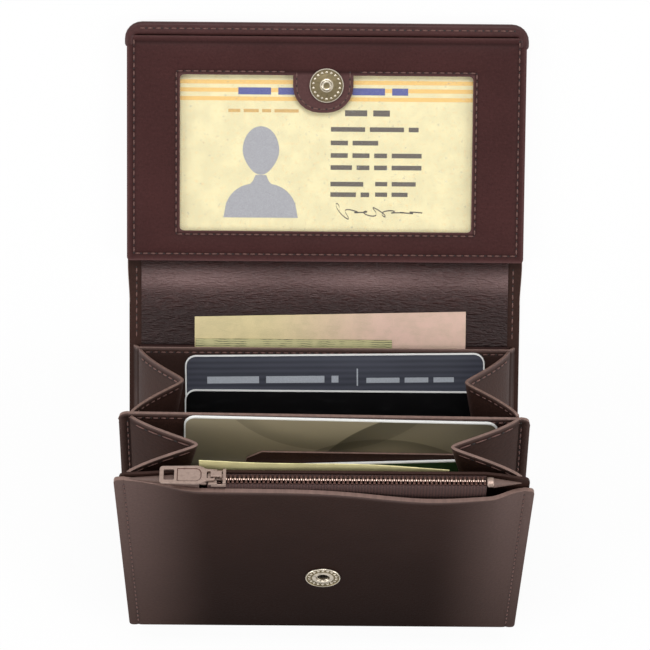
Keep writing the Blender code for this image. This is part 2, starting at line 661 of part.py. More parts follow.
def make_zip(pouch, slider, pull, metal, dark_metal, tape):
    centre = zip_centre()
    tooth_row("zip_teeth_front", 1, pouch, dark_metal)
    tooth_row("zip_teeth_rear", -1, pouch, dark_metal)
    outer = TOOTH_REACH * HALF + TOOTH_ROOT + TAPE_GAP
    for name, side in (("zip_tape_front", 1), ("zip_tape_rear", -1)):
        near = centre + side * outer
        far = near + side * TAPE_THICKNESS
        slab(
            name,
            rounded(box_corners(
                TEETH_LEFT, TEETH_RIGHT, TEETH_FOOT - TAPE_DEPTH, TEETH_FOOT + TOOTH_HEIGHT * HALF,
            )),
            min(near, far), max(near, far), pouch, tape,
        )
    stop_low = TEETH_FOOT
    stop_high = TEETH_FOOT + TOOTH_HEIGHT
    for name, edge, side in (
        ("zip_stop_left", TEETH_LEFT - SLIP_GAP, -1),
        ("zip_stop_right", TEETH_RIGHT + SLIP_GAP, 1),
    ):
        slab(
            name,
            rounded(box_corners(
                min(edge, edge + side * STOP_LENGTH), max(edge, edge + side * STOP_LENGTH),
                stop_low, stop_high,
            )),
            centre - outer, centre + outer, pouch, metal,
        )
        start = edge + side * (STOP_LENGTH + SLIP_GAP)
        end = side * TAPE_END
        foot = TEETH_FOOT - TAPE_DEPTH * HALF
        slab(
            name.replace("stop", "end_tab"),
            [
                (start, foot), (end, POUCH_REAR_TOP - TAPE_DEPTH), (end, POUCH_REAR_TOP - SEAT_GAP),
                (start, stop_high),
            ],
            POUCH_REAR_LEATHER * HALF + FLAT_GAP,
            POUCH_REAR_LEATHER * HALF + FLAT_GAP + TAPE_THICKNESS,
            pouch, tape,
        )
    half = SLIDER_LENGTH * HALF
    plate_low = TEETH_FOOT + TOOTH_HEIGHT + SLIDER_GAP - slider.location.y
    plate_high = plate_low + SLIDER_PLATE
    plate = slab(
        "slider_body",
        rounded(box_corners(-half, half, plate_low, plate_high)),
        -SLIDER_WIDTH * HALF, SLIDER_WIDTH * HALF, slider, metal,
    )
    loop_half = BRIDGE_LENGTH * HALF
    bridge = slab(
        "slider_bridge",
        rounded(box_corners(
            -loop_half, loop_half, plate_high - BRIDGE_WALL, plate_high + BRIDGE_HEIGHT,
        )),
        -BRIDGE_WIDTH * HALF, BRIDGE_WIDTH * HALF, slider, metal,
        holes=[[
            (-loop_half + BRIDGE_WALL, plate_high),
            (loop_half - BRIDGE_WALL, plate_high),
            (loop_half - BRIDGE_WALL, plate_high + BRIDGE_HEIGHT - BRIDGE_WALL),
            (-loop_half + BRIDGE_WALL, plate_high + BRIDGE_HEIGHT - BRIDGE_WALL),
        ]],
    )
    combined(plate, bridge, "UNION")
    base_high = TEETH_FOOT - SLIDER_GAP - slider.location.y
    base_half = outer - SLIDER_GAP
    slab(
        "slider_base",
        rounded(box_corners(-half, half, base_high - SLIDER_BASE_PLATE, base_high)),
        -base_half, base_half, slider, metal,
    )
    make_pull(pull, metal)


def make_pull(pull, metal):
    """The tab lies along -X. Its end bar turns in the window of the slider's bridge."""
    half_bar = PULL_EYE_BAR * HALF
    left = half_bar - PULL_LENGTH
    half = PULL_WIDTH * HALF
    eye_half = PULL_EYE_WIDTH * HALF
    hole_half = PULL_HOLE_WIDTH * HALF
    hole_left = left + PULL_HOLE_INSET
    tab = slab(
        "pull_tab",
        rounded(box_corners(left, half_bar, -half, half, PULL_CORNER, PULL_CORNER)),
        -PULL_THICKNESS * HALF, PULL_THICKNESS * HALF, pull, metal,
        holes=[
            rounded(box_corners(-half_bar - PULL_EYE_LENGTH, -half_bar, -eye_half, eye_half)),
            rounded(box_corners(hole_left, hole_left + PULL_HOLE_LENGTH, -hole_half, hole_half)),
        ],
    )
    tab.rotation_euler.x = -math.pi * HALF


def make_front_note(pouch, paper):
    half = FRONT_NOTE_WIDTH * HALF
    rear = -POUCH_REAR_LEATHER * HALF - SLIP_GAP
    slab(
        "front_note",
        [
            (-half, FRONT_NOTE_TOP - FRONT_NOTE_HEIGHT), (half, FRONT_NOTE_TOP - FRONT_NOTE_HEIGHT),
            (half, FRONT_NOTE_TOP - FRONT_NOTE_SLANT), (-half, FRONT_NOTE_TOP),
        ],
        rear - NOTE_THICKNESS, rear, pouch, paper,
    )


def make_socket(front, metal):
    """The socket's ring lies on the pouch's face; its collar passes through to a washer inside."""
    place = (0.0, SOCKET_ALONG, SHELL_LEATHER)
    collar_end = -SHELL_LEATHER - SEAT_GAP
    turned(
        "snap_socket",
        [
            (SOCKET_BORE_RADIUS, collar_end),
            (SOCKET_COLLAR_RADIUS, collar_end),
            (SOCKET_COLLAR_RADIUS, FLAT_GAP * HALF),
            (SOCKET_FLANGE_RADIUS, FLAT_GAP * HALF),
            (SOCKET_FLANGE_RADIUS, FLAT_GAP * HALF + SOCKET_FLANGE),
            (SOCKET_BORE_RADIUS, FLAT_GAP * HALF + SOCKET_FLANGE),
        ],
        front, metal, place,
    )
    washer_top = -SHELL_LEATHER - FLAT_GAP
    turned(
        "socket_washer",
        [
            (SOCKET_COLLAR_RADIUS + FLAT_GAP, washer_top - SOCKET_WASHER),
            (SOCKET_WASHER_RADIUS, washer_top - SOCKET_WASHER),
            (SOCKET_WASHER_RADIUS, washer_top),
            (SOCKET_COLLAR_RADIUS + FLAT_GAP, washer_top),
        ],
        front, metal, place,
    )
    spring = bpy.data.curves.new("socket_spring", "CURVE")
    spring.dimensions = "3D"
    spring.bevel_depth = SPRING_WIRE_RADIUS
    spring.bevel_resolution = 1
    spring.use_fill_caps = True
    line = spring.splines.new("POLY")
    line.points.add(TURN_STEPS)
    swept = 2 * math.pi - SPRING_GAP_ANGLE
    for step, point in enumerate(line.points):
        angle = SPRING_GAP_ANGLE * HALF + swept * step / TURN_STEPS
        point.co = (SPRING_RADIUS * math.cos(angle), SPRING_RADIUS * math.sin(angle), 0.0, 1.0)
    spring.materials.append(metal)
    wire = bpy.data.objects.new("socket_spring", spring)
    bpy.context.scene.collection.objects.link(wire)
    wire.parent = front
    wire.location = (0.0, SOCKET_ALONG, SHELL_LEATHER)


def make_flap(flap, leather, thin_leather, lining, card, film, metal):
    """Everything that the flap carries, in its own frame with the fold at Y zero."""
    half = FLAP_WIDTH * HALF
    inner_end = FLAP_LENGTH - ROLL_DEPTH - SEAT_GAP
    pocket_half = half - FLAP_WALL - SEAT_GAP
    pocket_end = inner_end - FLAP_WALL - SEAT_GAP
    slab(
        "flap_lining",
        rounded(box_corners(-pocket_half, pocket_half, FLAP_FRAME_START, pocket_end)),
        FLAP_LINING_Z - FOLD_Z, FLAP_LINING_Z + FLAP_LINING_LEATHER - FOLD_Z, flap, lining,
    )
    card_end = FLAP_LENGTH - ID_CARD_FROM_END
    make_card("id_card", 0.0, card_end, ID_CARD_Z - FOLD_Z, flap, card)
    window_end = FLAP_LENGTH - WINDOW_FROM_END
    window_start = window_end - WINDOW_HEIGHT
    window_half = WINDOW_LENGTH * HALF
    slab(
        "id_window",
        rounded(box_corners(
            -window_half - FILM_MARGIN, window_half + FILM_MARGIN,
            window_start - FILM_MARGIN, window_end + FILM_MARGIN,
        )),
        FILM_Z - FOLD_Z, FILM_Z + FILM_THICKNESS - FOLD_Z, flap, film,
    )
    tongue_end = window_end - TONGUE_LENGTH
    window = rounded([
        (-window_half, window_start, WINDOW_RADIUS),
        (window_half, window_start, WINDOW_RADIUS),
        (window_half, window_end, WINDOW_RADIUS),
        (TONGUE_RIGHT, window_end, 0.0),
        (TONGUE_RIGHT, tongue_end, TONGUE_RADIUS),
        (TONGUE_LEFT, tongue_end, TONGUE_RADIUS),
        (TONGUE_LEFT, window_end, 0.0),
        (-window_half, window_end, WINDOW_RADIUS),
    ])
    frame = slab(
        "flap_frame",
        rounded(box_corners(-half, half, FLAP_FRAME_START, inner_end)),
        FLAP_FRAME_Z - FOLD_Z, FLAP_TOP_Z - FOLD_Z, flap, thin_leather,
        holes=[window, circle(0.0, STUD_ALONG, RIVET_HOLE_RADIUS)],
    )
    wall = half - FLAP_WALL
    rim = slab(
        "flap_frame_rim",
        [
            (-half, FLAP_FRAME_START), (-wall, FLAP_FRAME_START), (-wall, inner_end - FLAP_WALL),
            (wall, inner_end - FLAP_WALL), (wall, FLAP_FRAME_START), (half, FLAP_FRAME_START),
            (half, inner_end), (-half, inner_end),
        ],
        SHELL_LEATHER + FLAT_GAP - FOLD_Z, FLAP_FRAME_Z + FLAP_FRAME_LEATHER * HALF - FOLD_Z,
        flap, thin_leather,
    )
    combined(frame, rim, "UNION")
    section = rounded(box_corners(
        FLAP_LENGTH - ROLL_DEPTH, FLAP_LENGTH, -FOLD_Z, ROLL_HEIGHT - FOLD_Z,
        ROLL_RADIUS, ROLL_RADIUS,
    ))
    bar("flap_edge_roll", section, ROLL_WIDTH * HALF, flap, leather)
    make_stud(flap, metal)


def make_stud(flap, metal):
    """The rivet's stem stands in the stud's bore through the hole in the tongue."""
    flange_low = FLAP_TOP_Z + FLAT_GAP * HALF - FOLD_Z
    flange_high = flange_low + STUD_FLANGE
    neck_high = flange_high + STUD_NECK
    bore_high = flange_high + STUD_BORE_DEPTH
    stem_high = bore_high - SLIP_GAP
    head_high = neck_high + STUD_HEAD
    place = (0.0, STUD_ALONG, 0.0)
    turned(
        "snap_stud",
        [
            (STUD_BORE_RADIUS, flange_low),
            (STUD_FLANGE_RADIUS, flange_low),
            (STUD_FLANGE_RADIUS, flange_high),
            (STUD_NECK_RADIUS, flange_high),
            (STUD_NECK_RADIUS, neck_high),
            (STUD_HEAD_RADIUS, neck_high + STUD_HEAD * HALF * HALF),
            (STUD_HEAD_RADIUS, neck_high + STUD_HEAD * HALF),
            (STUD_NECK_RADIUS, head_high),
            (0.0, head_high),
            (0.0, bore_high),
            (STUD_BORE_RADIUS, bore_high),
        ],
        flap, metal, place,
    )
    plate_low = RIVET_Z - FOLD_Z
    turned(
        "stud_rivet",
        [
            (0.0, plate_low),
            (RIVET_RADIUS, plate_low),
            (RIVET_RADIUS, plate_low + RIVET_PLATE),
            (RIVET_STEM_RADIUS, plate_low + RIVET_PLATE),
            (RIVET_STEM_RADIUS, stem_high),
            (0.0, stem_high),
        ],
        flap, metal, place,
    )


def gusset(name, side, fold, low_leaf, high_leaf, parent, surface):
    """A folded side between two leaves: its fold points inwards and runs into the corner below.

    Each leaf is (function from along and off to a point, off, length)."""
    rows = []
    for i in range(GUSSET_LEVELS + 1):
        level = i / GUSSET_LEVELS
        row = []
        for j in range(GUSSET_COLUMNS + 1):
            share = j / GUSSET_COLUMNS
            ends = []
            for place, off, length in (low_leaf, high_leaf):
                along = GUSSET_START + (length - GUSSET_END_INSET - GUSSET_START) * level
                ends.append(place(along, off))
            point = ends[0].lerp(ends[1], share)
            depth = (GUSSET_SEAM - fold) * (GUSSET_START / length + (1 - GUSSET_START / length) * level)
            x = GUSSET_SEAM - depth * (1 - abs(2 * share - 1)) ** GUSSET_FOLD_POWER
            row.append((
                (side * (x - GUSSET_LEATHER), point.y, point.z),
                (side * x, point.y, point.z),
            ))
        rows.append(row)
    sheet(name, rows, parent, surface)


def make_gussets(root, leather):
    """The gussets are laid out in the wallet's own frame, over the open leaves."""
    pouch_pivot = MIDDLE_PIVOT + turned_point(POUCH_PIVOT.y, POUCH_PIVOT.z, MIDDLE_ANGLE)

    def on_divider(along, off):
        return DIVIDER_ORIGIN + turned_point(along, off, LEAF_TILT)

    def on_middle(along, off):
        return MIDDLE_PIVOT + turned_point(along, off, MIDDLE_ANGLE)

    def on_pouch(along, off):
        return pouch_pivot + turned_point(along, off, POUCH_ANGLE)

    divider_length = (BACK_FOLD_Y - DIVIDER_TO_FOLD - DIVIDER_START) / math.cos(LEAF_TILT)
    middle_face = DIVIDER_LEATHER * HALF + SEAT_GAP
    pouch_face = -POUCH_REAR_LEATHER * HALF - SEAT_GAP
    for word, side in (("left", -1), ("right", 1)):
        gusset(
            f"rear_gusset_{word}", side, REAR_GUSSET_FOLD,
            (on_divider, SEAT_GAP, divider_length), (on_middle, -middle_face, MIDDLE_LENGTH),
            root, leather,
        )
        gusset(
            f"front_gusset_{word}", side, FRONT_GUSSET_FOLD,
            (on_middle, middle_face, MIDDLE_LENGTH), (on_pouch, pouch_face, POUCH_REAR_TOP),
            root, leather,
        )
    lift = SEAT_GAP + PLEAT_LEATHER * HALF
    middle_lift = DIVIDER_LEATHER * HALF + lift
    pouch_lift = POUCH_REAR_LEATHER * HALF + lift
    pleat("rear_pleat", [
        on_divider(PLEAT_LEG, lift),
        on_divider(0.0, lift),
        on_divider(-lift, lift * 2),
        on_middle(MIDDLE_START - lift, -lift),
    ], root, leather)
    pleat("front_pleat", [
        on_middle(MIDDLE_START - lift, lift),
        on_middle(-lift, middle_lift * 2),
        on_pouch(-lift, -pouch_lift),
        on_pouch(POUCH_REAR_START + lift, -pouch_lift),
    ], root, leather)


def pleat(name, line, parent, surface):
    """A strip along X whose section follows a line of points at one thickness."""
    left = []
    right = []
    for index, point in enumerate(line):
        before = line[max(index - 1, 0)]
        after = line[min(index + 1, len(line) - 1)]
        run = (after - before).normalized()
        normal = Vector((0.0, -run.z, run.y)) * PLEAT_LEATHER * HALF
        left.append(((point + normal).y, (point + normal).z))
        right.append(((point - normal).y, (point - normal).z))
    bar(name, left + right[::-1], PLEAT_WIDTH * HALF, parent, surface)


def centre_on_ground(root):
    """Moves the wallet so that its box stands on the origin, centred."""
    bpy.context.view_layer.update()
    graph = bpy.context.evaluated_depsgraph_get()
    corners = []
    for obj in bpy.data.objects:
        if obj.type == "EMPTY" or obj.hide_render:
            continue
        shown = obj.evaluated_get(graph)
        mesh = shown.to_mesh()
        corners += [shown.matrix_world @ vert.co for vert in mesh.vertices]
        shown.to_mesh_clear()
    low = Vector([min(corner[axis] for corner in corners) for axis in range(3)])
    high = Vector([max(corner[axis] for corner in corners) for axis in range(3)])
    root.location = (-(low.x + high.x) * HALF, -(low.y + high.y) * HALF, -low.z)
    bpy.context.view_layer.update()


def main():
    for obj in list(bpy.data.objects):
        bpy.data.objects.remove(obj)
    leather = material("Brown leather", (0.066, 0.038, 0.03), 0.5)
    divider_leather = material("Divider leather", (0.06, 0.034, 0.028), 0.55)
    thin_leather = material("Thin leather", (0.075, 0.034, 0.03), 0.5)
    lining = material("Lining leather", (0.05, 0.03, 0.025), 0.6)
    nickel = material("Antique nickel", (0.33, 0.28, 0.2), 0.35, 1.0)
    zip_metal = material("Zip metal", (0.34, 0.26, 0.21), 0.35, 1.0)
    teeth_metal = material("Teeth metal", (0.16, 0.1, 0.07), 0.4, 1.0)
    tape = material("Zip tape", (0.03, 0.02, 0.018), 0.85)
    paper = material("Note paper", (0.55, 0.5, 0.36), 0.8)
    yellow_paper = material("Yellow note paper", (0.5, 0.46, 0.22), 0.8)
    slate = material("Slate card", (0.07, 0.08, 0.11), 0.35)
    black = material("Black card", (0.01, 0.01, 0.012), 0.3)
    pattern = material("Pattern card", (0.2, 0.24, 0.19), 0.35)
    green = material("Green card", (0.02, 0.06, 0.03), 0.35)
    id_paper = material("Identity card", (0.88, 0.8, 0.5), 0.45)
    film = material("Clear film", (0.95, 0.95, 0.93), 0.1, 0.0, 0.2)

    root = empty("wallet", None, (0.0, 0.0, 0.0))
    spine = empty("spine_fold", root, (0.0, BACK_FOLD_Y, FOLD_Z))
    flap = empty("flap_fold", spine, (0.0, SPINE_LENGTH, 0.0))
    divider_frame = empty("divider_frame", root, DIVIDER_ORIGIN, LEAF_TILT)
    middle = empty("middle_fan", root, MIDDLE_PIVOT, MIDDLE_ANGLE)
    pouch = empty("coin_fan", middle, POUCH_PIVOT, POUCH_ANGLE - MIDDLE_ANGLE)
    front = empty("pouch_front_frame", pouch, (0.0, 0.0, POUCH_FRONT_OFF), POUCH_WEDGE)
    slider_x = TEETH_LEFT + SLIDER_LENGTH * HALF
    slider = empty("zip_slide", pouch, (slider_x, TEETH_FOOT, zip_centre()))
    eye_height = TOOTH_HEIGHT + SLIDER_GAP + SLIDER_PLATE + (BRIDGE_HEIGHT - BRIDGE_WALL) * HALF
    eye_place = (-BRIDGE_LENGTH * HALF + BRIDGE_WALL + PULL_AXIS_FROM_LEG, eye_height, 0.0)
    pull = empty("zip_pull", slider, eye_place)

    make_shell(root, spine, flap, leather, lining)
    make_bill_divider(root, divider_leather)
    make_rear_contents(root, divider_frame, paper, slate, black)
    make_middle_leaf(middle, divider_leather, thin_leather, pattern, green)
    make_coin_pouch(pouch, front, leather, thin_leather)
    make_zip(pouch, slider, pull, zip_metal, teeth_metal, tape)
    make_front_note(pouch, yellow_paper)
    make_socket(front, nickel)
    make_flap(flap, leather, thin_leather, lining, id_paper, film, nickel)
    make_gussets(root, divider_leather)
    centre_on_ground(root)


main()
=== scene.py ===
"""Dresses the open snap wallet: leather skins, seams, gussets, cards, notes, zip and press-stud."""

import json
import math
import random

import bmesh
import bpy
from mathutils import Matrix, Vector


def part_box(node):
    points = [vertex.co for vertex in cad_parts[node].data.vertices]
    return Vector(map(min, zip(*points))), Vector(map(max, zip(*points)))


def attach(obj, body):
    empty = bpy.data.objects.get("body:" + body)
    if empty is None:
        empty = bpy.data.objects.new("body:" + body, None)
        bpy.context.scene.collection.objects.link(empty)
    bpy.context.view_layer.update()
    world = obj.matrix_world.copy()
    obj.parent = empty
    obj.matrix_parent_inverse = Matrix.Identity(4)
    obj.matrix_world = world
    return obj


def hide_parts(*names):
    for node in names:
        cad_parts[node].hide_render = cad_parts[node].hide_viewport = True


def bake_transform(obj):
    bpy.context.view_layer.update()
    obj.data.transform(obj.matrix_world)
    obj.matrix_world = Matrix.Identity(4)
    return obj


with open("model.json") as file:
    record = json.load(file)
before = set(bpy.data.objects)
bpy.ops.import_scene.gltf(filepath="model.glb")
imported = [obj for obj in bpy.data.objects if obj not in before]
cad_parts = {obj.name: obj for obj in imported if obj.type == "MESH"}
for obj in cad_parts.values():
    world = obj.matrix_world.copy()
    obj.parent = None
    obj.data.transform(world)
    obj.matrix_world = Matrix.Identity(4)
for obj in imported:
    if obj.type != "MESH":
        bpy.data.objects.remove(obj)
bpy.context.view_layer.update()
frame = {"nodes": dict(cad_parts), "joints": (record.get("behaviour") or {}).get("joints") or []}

bl_info = {
    "name": "Snap Wallet",
    "version": (1, 0, 0),
    "blender": (4, 5, 0),
    "location": "3D View > Sidebar > Wallet",
    "description": "Builds the skins, seams, pockets, cards, zip and studs of an open snap wallet",
    "category": "Add Mesh",
}

HALF = 0.5
TINY = 0.000001  # nearer than this, two places are one


def srgb(code):
    """The linear colour of a six-digit hexadecimal one."""
    shares = [((code >> shift) & 255) / 255 for shift in (16, 8, 0)]
    return tuple(((share + 0.055) / 1.055) ** 2.4 if share > 0.04045 else share / 12.92 for share in shares)


def smooth(value):
    """Rises smoothly from 0 to 1."""
    value = min(max(value, 0.0), 1.0)
    return value * value * (3 - 2 * value)


def bump_at(value, middle, width):
    """A soft hump of height 1 round a middle."""
    return math.exp(-(((value - middle) / width) ** 2))


def corner_drop(reach, radius):
    """How far a round corner falls, this far past its start."""
    return radius - math.sqrt(max(radius ** 2 - max(reach, 0.0) ** 2, 0.0))


def stations(first, *stops):
    """Values from the first one on: each stop is the next value and the steps that lead to it."""
    values = [first]
    for end, steps in stops:
        start = values[-1]
        values += [start + (end - start) * step / steps for step in range(1, steps + 1)]
    return values


def mirrored(values):
    """The same stations on both sides of the middle."""
    return [-value for value in reversed(values) if value > 0.0] + list(values)


class Leaf:
    """A flat leaf of the wallet: x runs across it, along up from its hinge, and off out of its face."""

    def __init__(self, origin, angle):
        self.origin = Vector(origin)
        self.run = Vector((0.0, math.cos(angle), math.sin(angle)))
        self.face = Vector((0.0, -math.sin(angle), math.cos(angle)))

    def at(self, x, along, off=0.0):
        return self.origin + Vector((x, 0.0, 0.0)) + self.run * along + self.face * off


JOINTS = {joint["name"]: joint for joint in frame["joints"]}


def slide_angle(name):
    axis = JOINTS[name]["axis"]
    return math.atan2(axis[2], axis[1])


# Places and widths that the frame gives
BACK_LOW, BACK_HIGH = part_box("back_panel")
FRAME_LOW, FRAME_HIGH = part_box("flap_frame")
ROLL_LOW, ROLL_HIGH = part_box("flap_edge_roll")
DIVIDER_LOW, DIVIDER_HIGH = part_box("bill_divider")
SPINE_FOLD = Vector(JOINTS["spine_fold"]["pos_m"])
FLAP_FOLD = Vector(JOINTS["flap_fold"]["pos_m"])
SPINE_MIDDLE = (SPINE_FOLD.y + FLAP_FOLD.y) * HALF
SHELL_THICKNESS = BACK_HIGH.z - BACK_LOW.z
SHELL_MIDDLE = BACK_LOW.z + SHELL_THICKNESS * HALF
SHELL_HALF = BACK_HIGH.x
FLAP_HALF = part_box("flap_panel")[1].x
POUCH_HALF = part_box("pouch_front_panel")[1].x
FOOT_Y = BACK_LOW.y
DIVIDER_ANGLE = slide_angle("slate_card_slide")
DIVIDER_LENGTH = (DIVIDER_HIGH.y - DIVIDER_LOW.y) / math.cos(DIVIDER_ANGLE)
DIVIDER_RISE = (DIVIDER_HIGH.y - DIVIDER_LOW.y) * math.tan(DIVIDER_ANGLE)
DIVIDER = Leaf((0.0, DIVIDER_LOW.y, DIVIDER_HIGH.z - DIVIDER_RISE), DIVIDER_ANGLE)
MIDDLE = Leaf(JOINTS["middle_fan"]["pos_m"], slide_angle("pattern_card_slide"))
POUCH = Leaf(JOINTS["coin_fan"]["pos_m"], slide_angle("front_note_slide"))

# Leather pieces
SHELL_CORNER = 0.004
FOLD_REACH = 0.0026  # how far each side of a fold line the leather bends
OUTER_SEAM = 0.002  # from the shell's and the flap's edges to their seams
DIVIDER_LEATHER = 0.0009
MIDDLE_START = 0.0006
MIDDLE_LENGTH = 0.0746
MIDDLE_SLANT = 0.0012
MIDDLE_SEAM = 0.0024  # from the middle leaf's sides to their seams
SLOT_OFF = 0.00151
SLOT_LEATHER = 0.0006
SLOT_FOOT = 0.004
SLOT_HALF = 0.04825
SLOT_TOP = ((-0.0483, 0.0316), (-0.029, 0.034), (-0.0212, 0.0596), (-0.0171, 0.062), (0.0483, 0.062))
POUCH_REAR_START = 0.0005
POUCH_REAR_TOP = 0.073
POUCH_REAR_HALF = 0.055
POUCH_REAR_LEATHER = 0.0008
POUCH_FRONT_OFF = 0.0007
POUCH_WEDGE = math.radians(3)
POUCH_FRONT_TOP = 0.0748
POUCH_FRONT_DIP = 0.0036
POUCH_FRONT_FOOT = 0.0025
POUCH_FLAT_HALF = 0.044
POUCH_SLACK_HALF = 0.033
POUCH_FOOT_HALF = 0.0555
POUCH_SAG_X = 0.029  # where the pouch's upper edge sags most, and how broadly
POUCH_SAG_WIDTH = 0.021
GUSSET_SEAM = 0.053
GUSSET_LEATHER = 0.0008
GUSSET_START = 0.0035
GUSSET_HEM = 0.0017
GUSSET_GAP = 0.0003  # between a gusset and the leaf that it is sewn to
REAR_GUSSET_DEPTH = 0.0146
FRONT_GUSSET_DEPTH = 0.0203
GUSSET_FOLD_POWER = 1.2
PLEAT_DEPTH = 0.005
FRAME_LEATHER = 0.00095
WINDOW_SEAM = 0.001  # from the window to its seam
FRONT_FACE = Leaf(POUCH.at(0.0, 0.0, POUCH_FRONT_OFF), slide_angle("front_note_slide") + POUCH_WEDGE)

# Press-stud, zip, cards and notes
SOCKET_ALONG = 0.0259
SOCKET_RADIUS = 0.00495
SOCKET_HOLE = 0.0029
STUD_Y = 0.06884
BEAD_SIZE = 0.00038
ZIP_CENTRE = 0.00242
TEETH_FOOT = 0.0714
TEETH_HEIGHT = 0.0016
TEETH_LEFT = -0.0312
TEETH_RIGHT = 0.0433
METAL_BEVEL = 0.00014
CARD_HALF = 0.0428
CARD_HEIGHT = 0.054
CARD_THICKNESS = 0.00076
CARD_BEVEL = 0.00008
CARD_MARGIN = 0.00042
CARD_GAP = 0.00015  # between a card and what lies behind it
PRINT_LIFT = 0.00002
NOTE_HALF = 0.0335
NOTE_LENGTH = 0.062
NOTE_BEVEL = 0.00003


def number(name, description, default, **options):
    """A plain number that the panel shows."""
    return bpy.props.FloatProperty(name=name, description=description, default=default, **options)


def measure(name, description, default):
    """A length in metres."""
    return number(name, description, default, unit="LENGTH")


def share_of(name, description, default):
    """A share between 0 and 1."""
    return number(name, description, default, min=0.0, max=1.0, subtype="FACTOR")


def colour(name, description, code):
    """A colour whose default is given as a screen colour code."""
    return bpy.props.FloatVectorProperty(
        name=name, description=description, default=srgb(code), size=3, subtype="COLOR", min=0.0, max=1.0,
    )


class WalletSizes(bpy.types.PropertyGroup):
    """Sizes of the wallet's seams, edges and small pieces."""

    stitch_pitch: measure("Stitch pitch", "From one stitch to the next", 0.0022)
    stitch_length: measure("Stitch length", "Length of the thread that shows", 0.00155)
    thread_width: measure("Thread width", "Width of one stitch", 0.0005)
    edge_round: measure("Edge rounding", "Rounding of the leather's turned edges", 0.00032)
    hem_inset: measure("Hem inset", "From a leather edge to its seam", 0.0015)
    seam_groove: measure("Seam groove", "Depth that a seam pulls the leather down", 0.00012)
    card_corner: measure("Card corner", "Corner radius of the cards", 0.0031)
    tooth_pitch: measure("Tooth pitch", "From one tooth of a zip row to the next", 0.00118)
    bead_count: bpy.props.IntProperty(
        name="Beads", description="Beads round the rim of each stud half", default=18, min=6,
    )
    window_radius: measure("Window corner", "Corner radius of the window", 0.0012)


class WalletStage(bpy.types.PropertyGroup):
    """The view and the light of the stage."""

    lens: number("Lens", "Focal length of the camera", 151.7, min=20.0, unit="CAMERA")
    distance: measure("Distance", "From the wallet to the camera", 0.7878)
    pitch: number("Pitch", "How far the view leans from straight down", math.radians(7.35), unit="ROTATION")
    yaw: number("Yaw", "How far the view leans to one side", math.radians(-0.32), unit="ROTATION")
    roll: number("Roll", "How far the picture is turned", math.radians(0.46), unit="ROTATION")
    overhead_power: number(
        "Overhead lamp", "Power of the lamp above the far edge", 8.5, min=0.0, unit="POWER",
    )
    side_power: number("Side lamps", "Power of the lamp at each side", 5.0, min=0.0, unit="POWER")
    ambient: share_of("Ambient light", "How strongly the surroundings light the wallet", 0.3)
    floor_white: share_of("Floor white", "How far the floor is seen as white, over its shadow", 0.93)


class WalletColours(bpy.types.PropertyGroup):
    """Colours of the wallet's finishes."""

    leather: colour("Leather", "Outer and pocket leather", 0x35231E)
    flap_leather: colour("Flap leather", "Leather round the window", 0x3F2423)
    lining: colour("Lining", "Leather inside the spine and the pockets", 0x36201E)
    # Colour of the rims: partly edge wear, partly painted highlight.
    hem: colour("Hem", "Light line along the leather's edges", 0x7A6057)
    thread: colour("Thread", "Sewing thread", 0x5B3F39)
    nickel: colour("Nickel", "Antique nickel of the press-stud", 0xC4BAA9)
    patina: colour("Patina", "Dark ring under the beads of the press-stud", 0x75694F)
    zip_metal: colour("Zip metal", "Slider and pull", 0x9A867C)
    teeth_metal: colour("Teeth metal", "Zip teeth", 0x5A413A)
    zip_tape: colour("Zip tape", "Woven tape of the zip", 0x4A302C)
    cream_paper: colour("Cream note", "Left end of the rear note", 0xD9C99A)
    pink_paper: colour("Pink note", "Right end of the rear note", 0xD8B6A8)
    edge_paper: colour("Edge note", "Note with a green printed edge", 0xC2BC8C)
    yellow_paper: colour("Front note", "Note in the front pocket", 0xE8DEA4)
    slate: colour("Slate card", "Face of the slate card", 0x41434D)
    black: colour("Black card", "Face of the black card", 0x040405)
    grey_green: colour("Pattern card", "Face of the pattern card", 0x8E846E)
    green: colour("Green card", "Face of the green card", 0x2C4326)
    card_edge: colour("Card edge", "White edge of the cards", 0xEDEDEA)
    identity: colour("Identity card", "Face of the identity card", 0xF1E6B6)
    stripe: colour("Stripes", "Stripes of the identity card", 0xEFC069)
    title_ink: colour("Title ink", "Blue ink of the identity card", 0x3A418C)
    text_ink: colour("Text ink", "Dark ink of the identity card", 0x43372A)
    portrait: colour("Portrait", "Grey of the head and shoulders", 0x9C9CA2)
    pale_ink: colour("Pale ink", "Pale print of the slate card", 0xA9AEB6)


class Value:
    """A number or colour that varies over a surface: arithmetic on it adds Math nodes."""

    def __init__(self, finish, socket):
        self.finish = finish
        self.socket = socket

    def maths(self, operation, first, second):
        return self.finish.node("ShaderNodeMath", {"operation": operation}, {0: first, 1: second})

    def __add__(self, other):
        return self.maths("ADD", self, other)

    def __radd__(self, other):
        return self.maths("ADD", other, self)

    def __sub__(self, other):
        return self.maths("SUBTRACT", self, other)

    def __rsub__(self, other):
        return self.maths("SUBTRACT", other, self)

    def __mul__(self, other):
        return self.maths("MULTIPLY", self, other)

    def __rmul__(self, other):
        return self.maths("MULTIPLY", other, self)

    def __pow__(self, other):
        return self.maths("POWER", self, other)

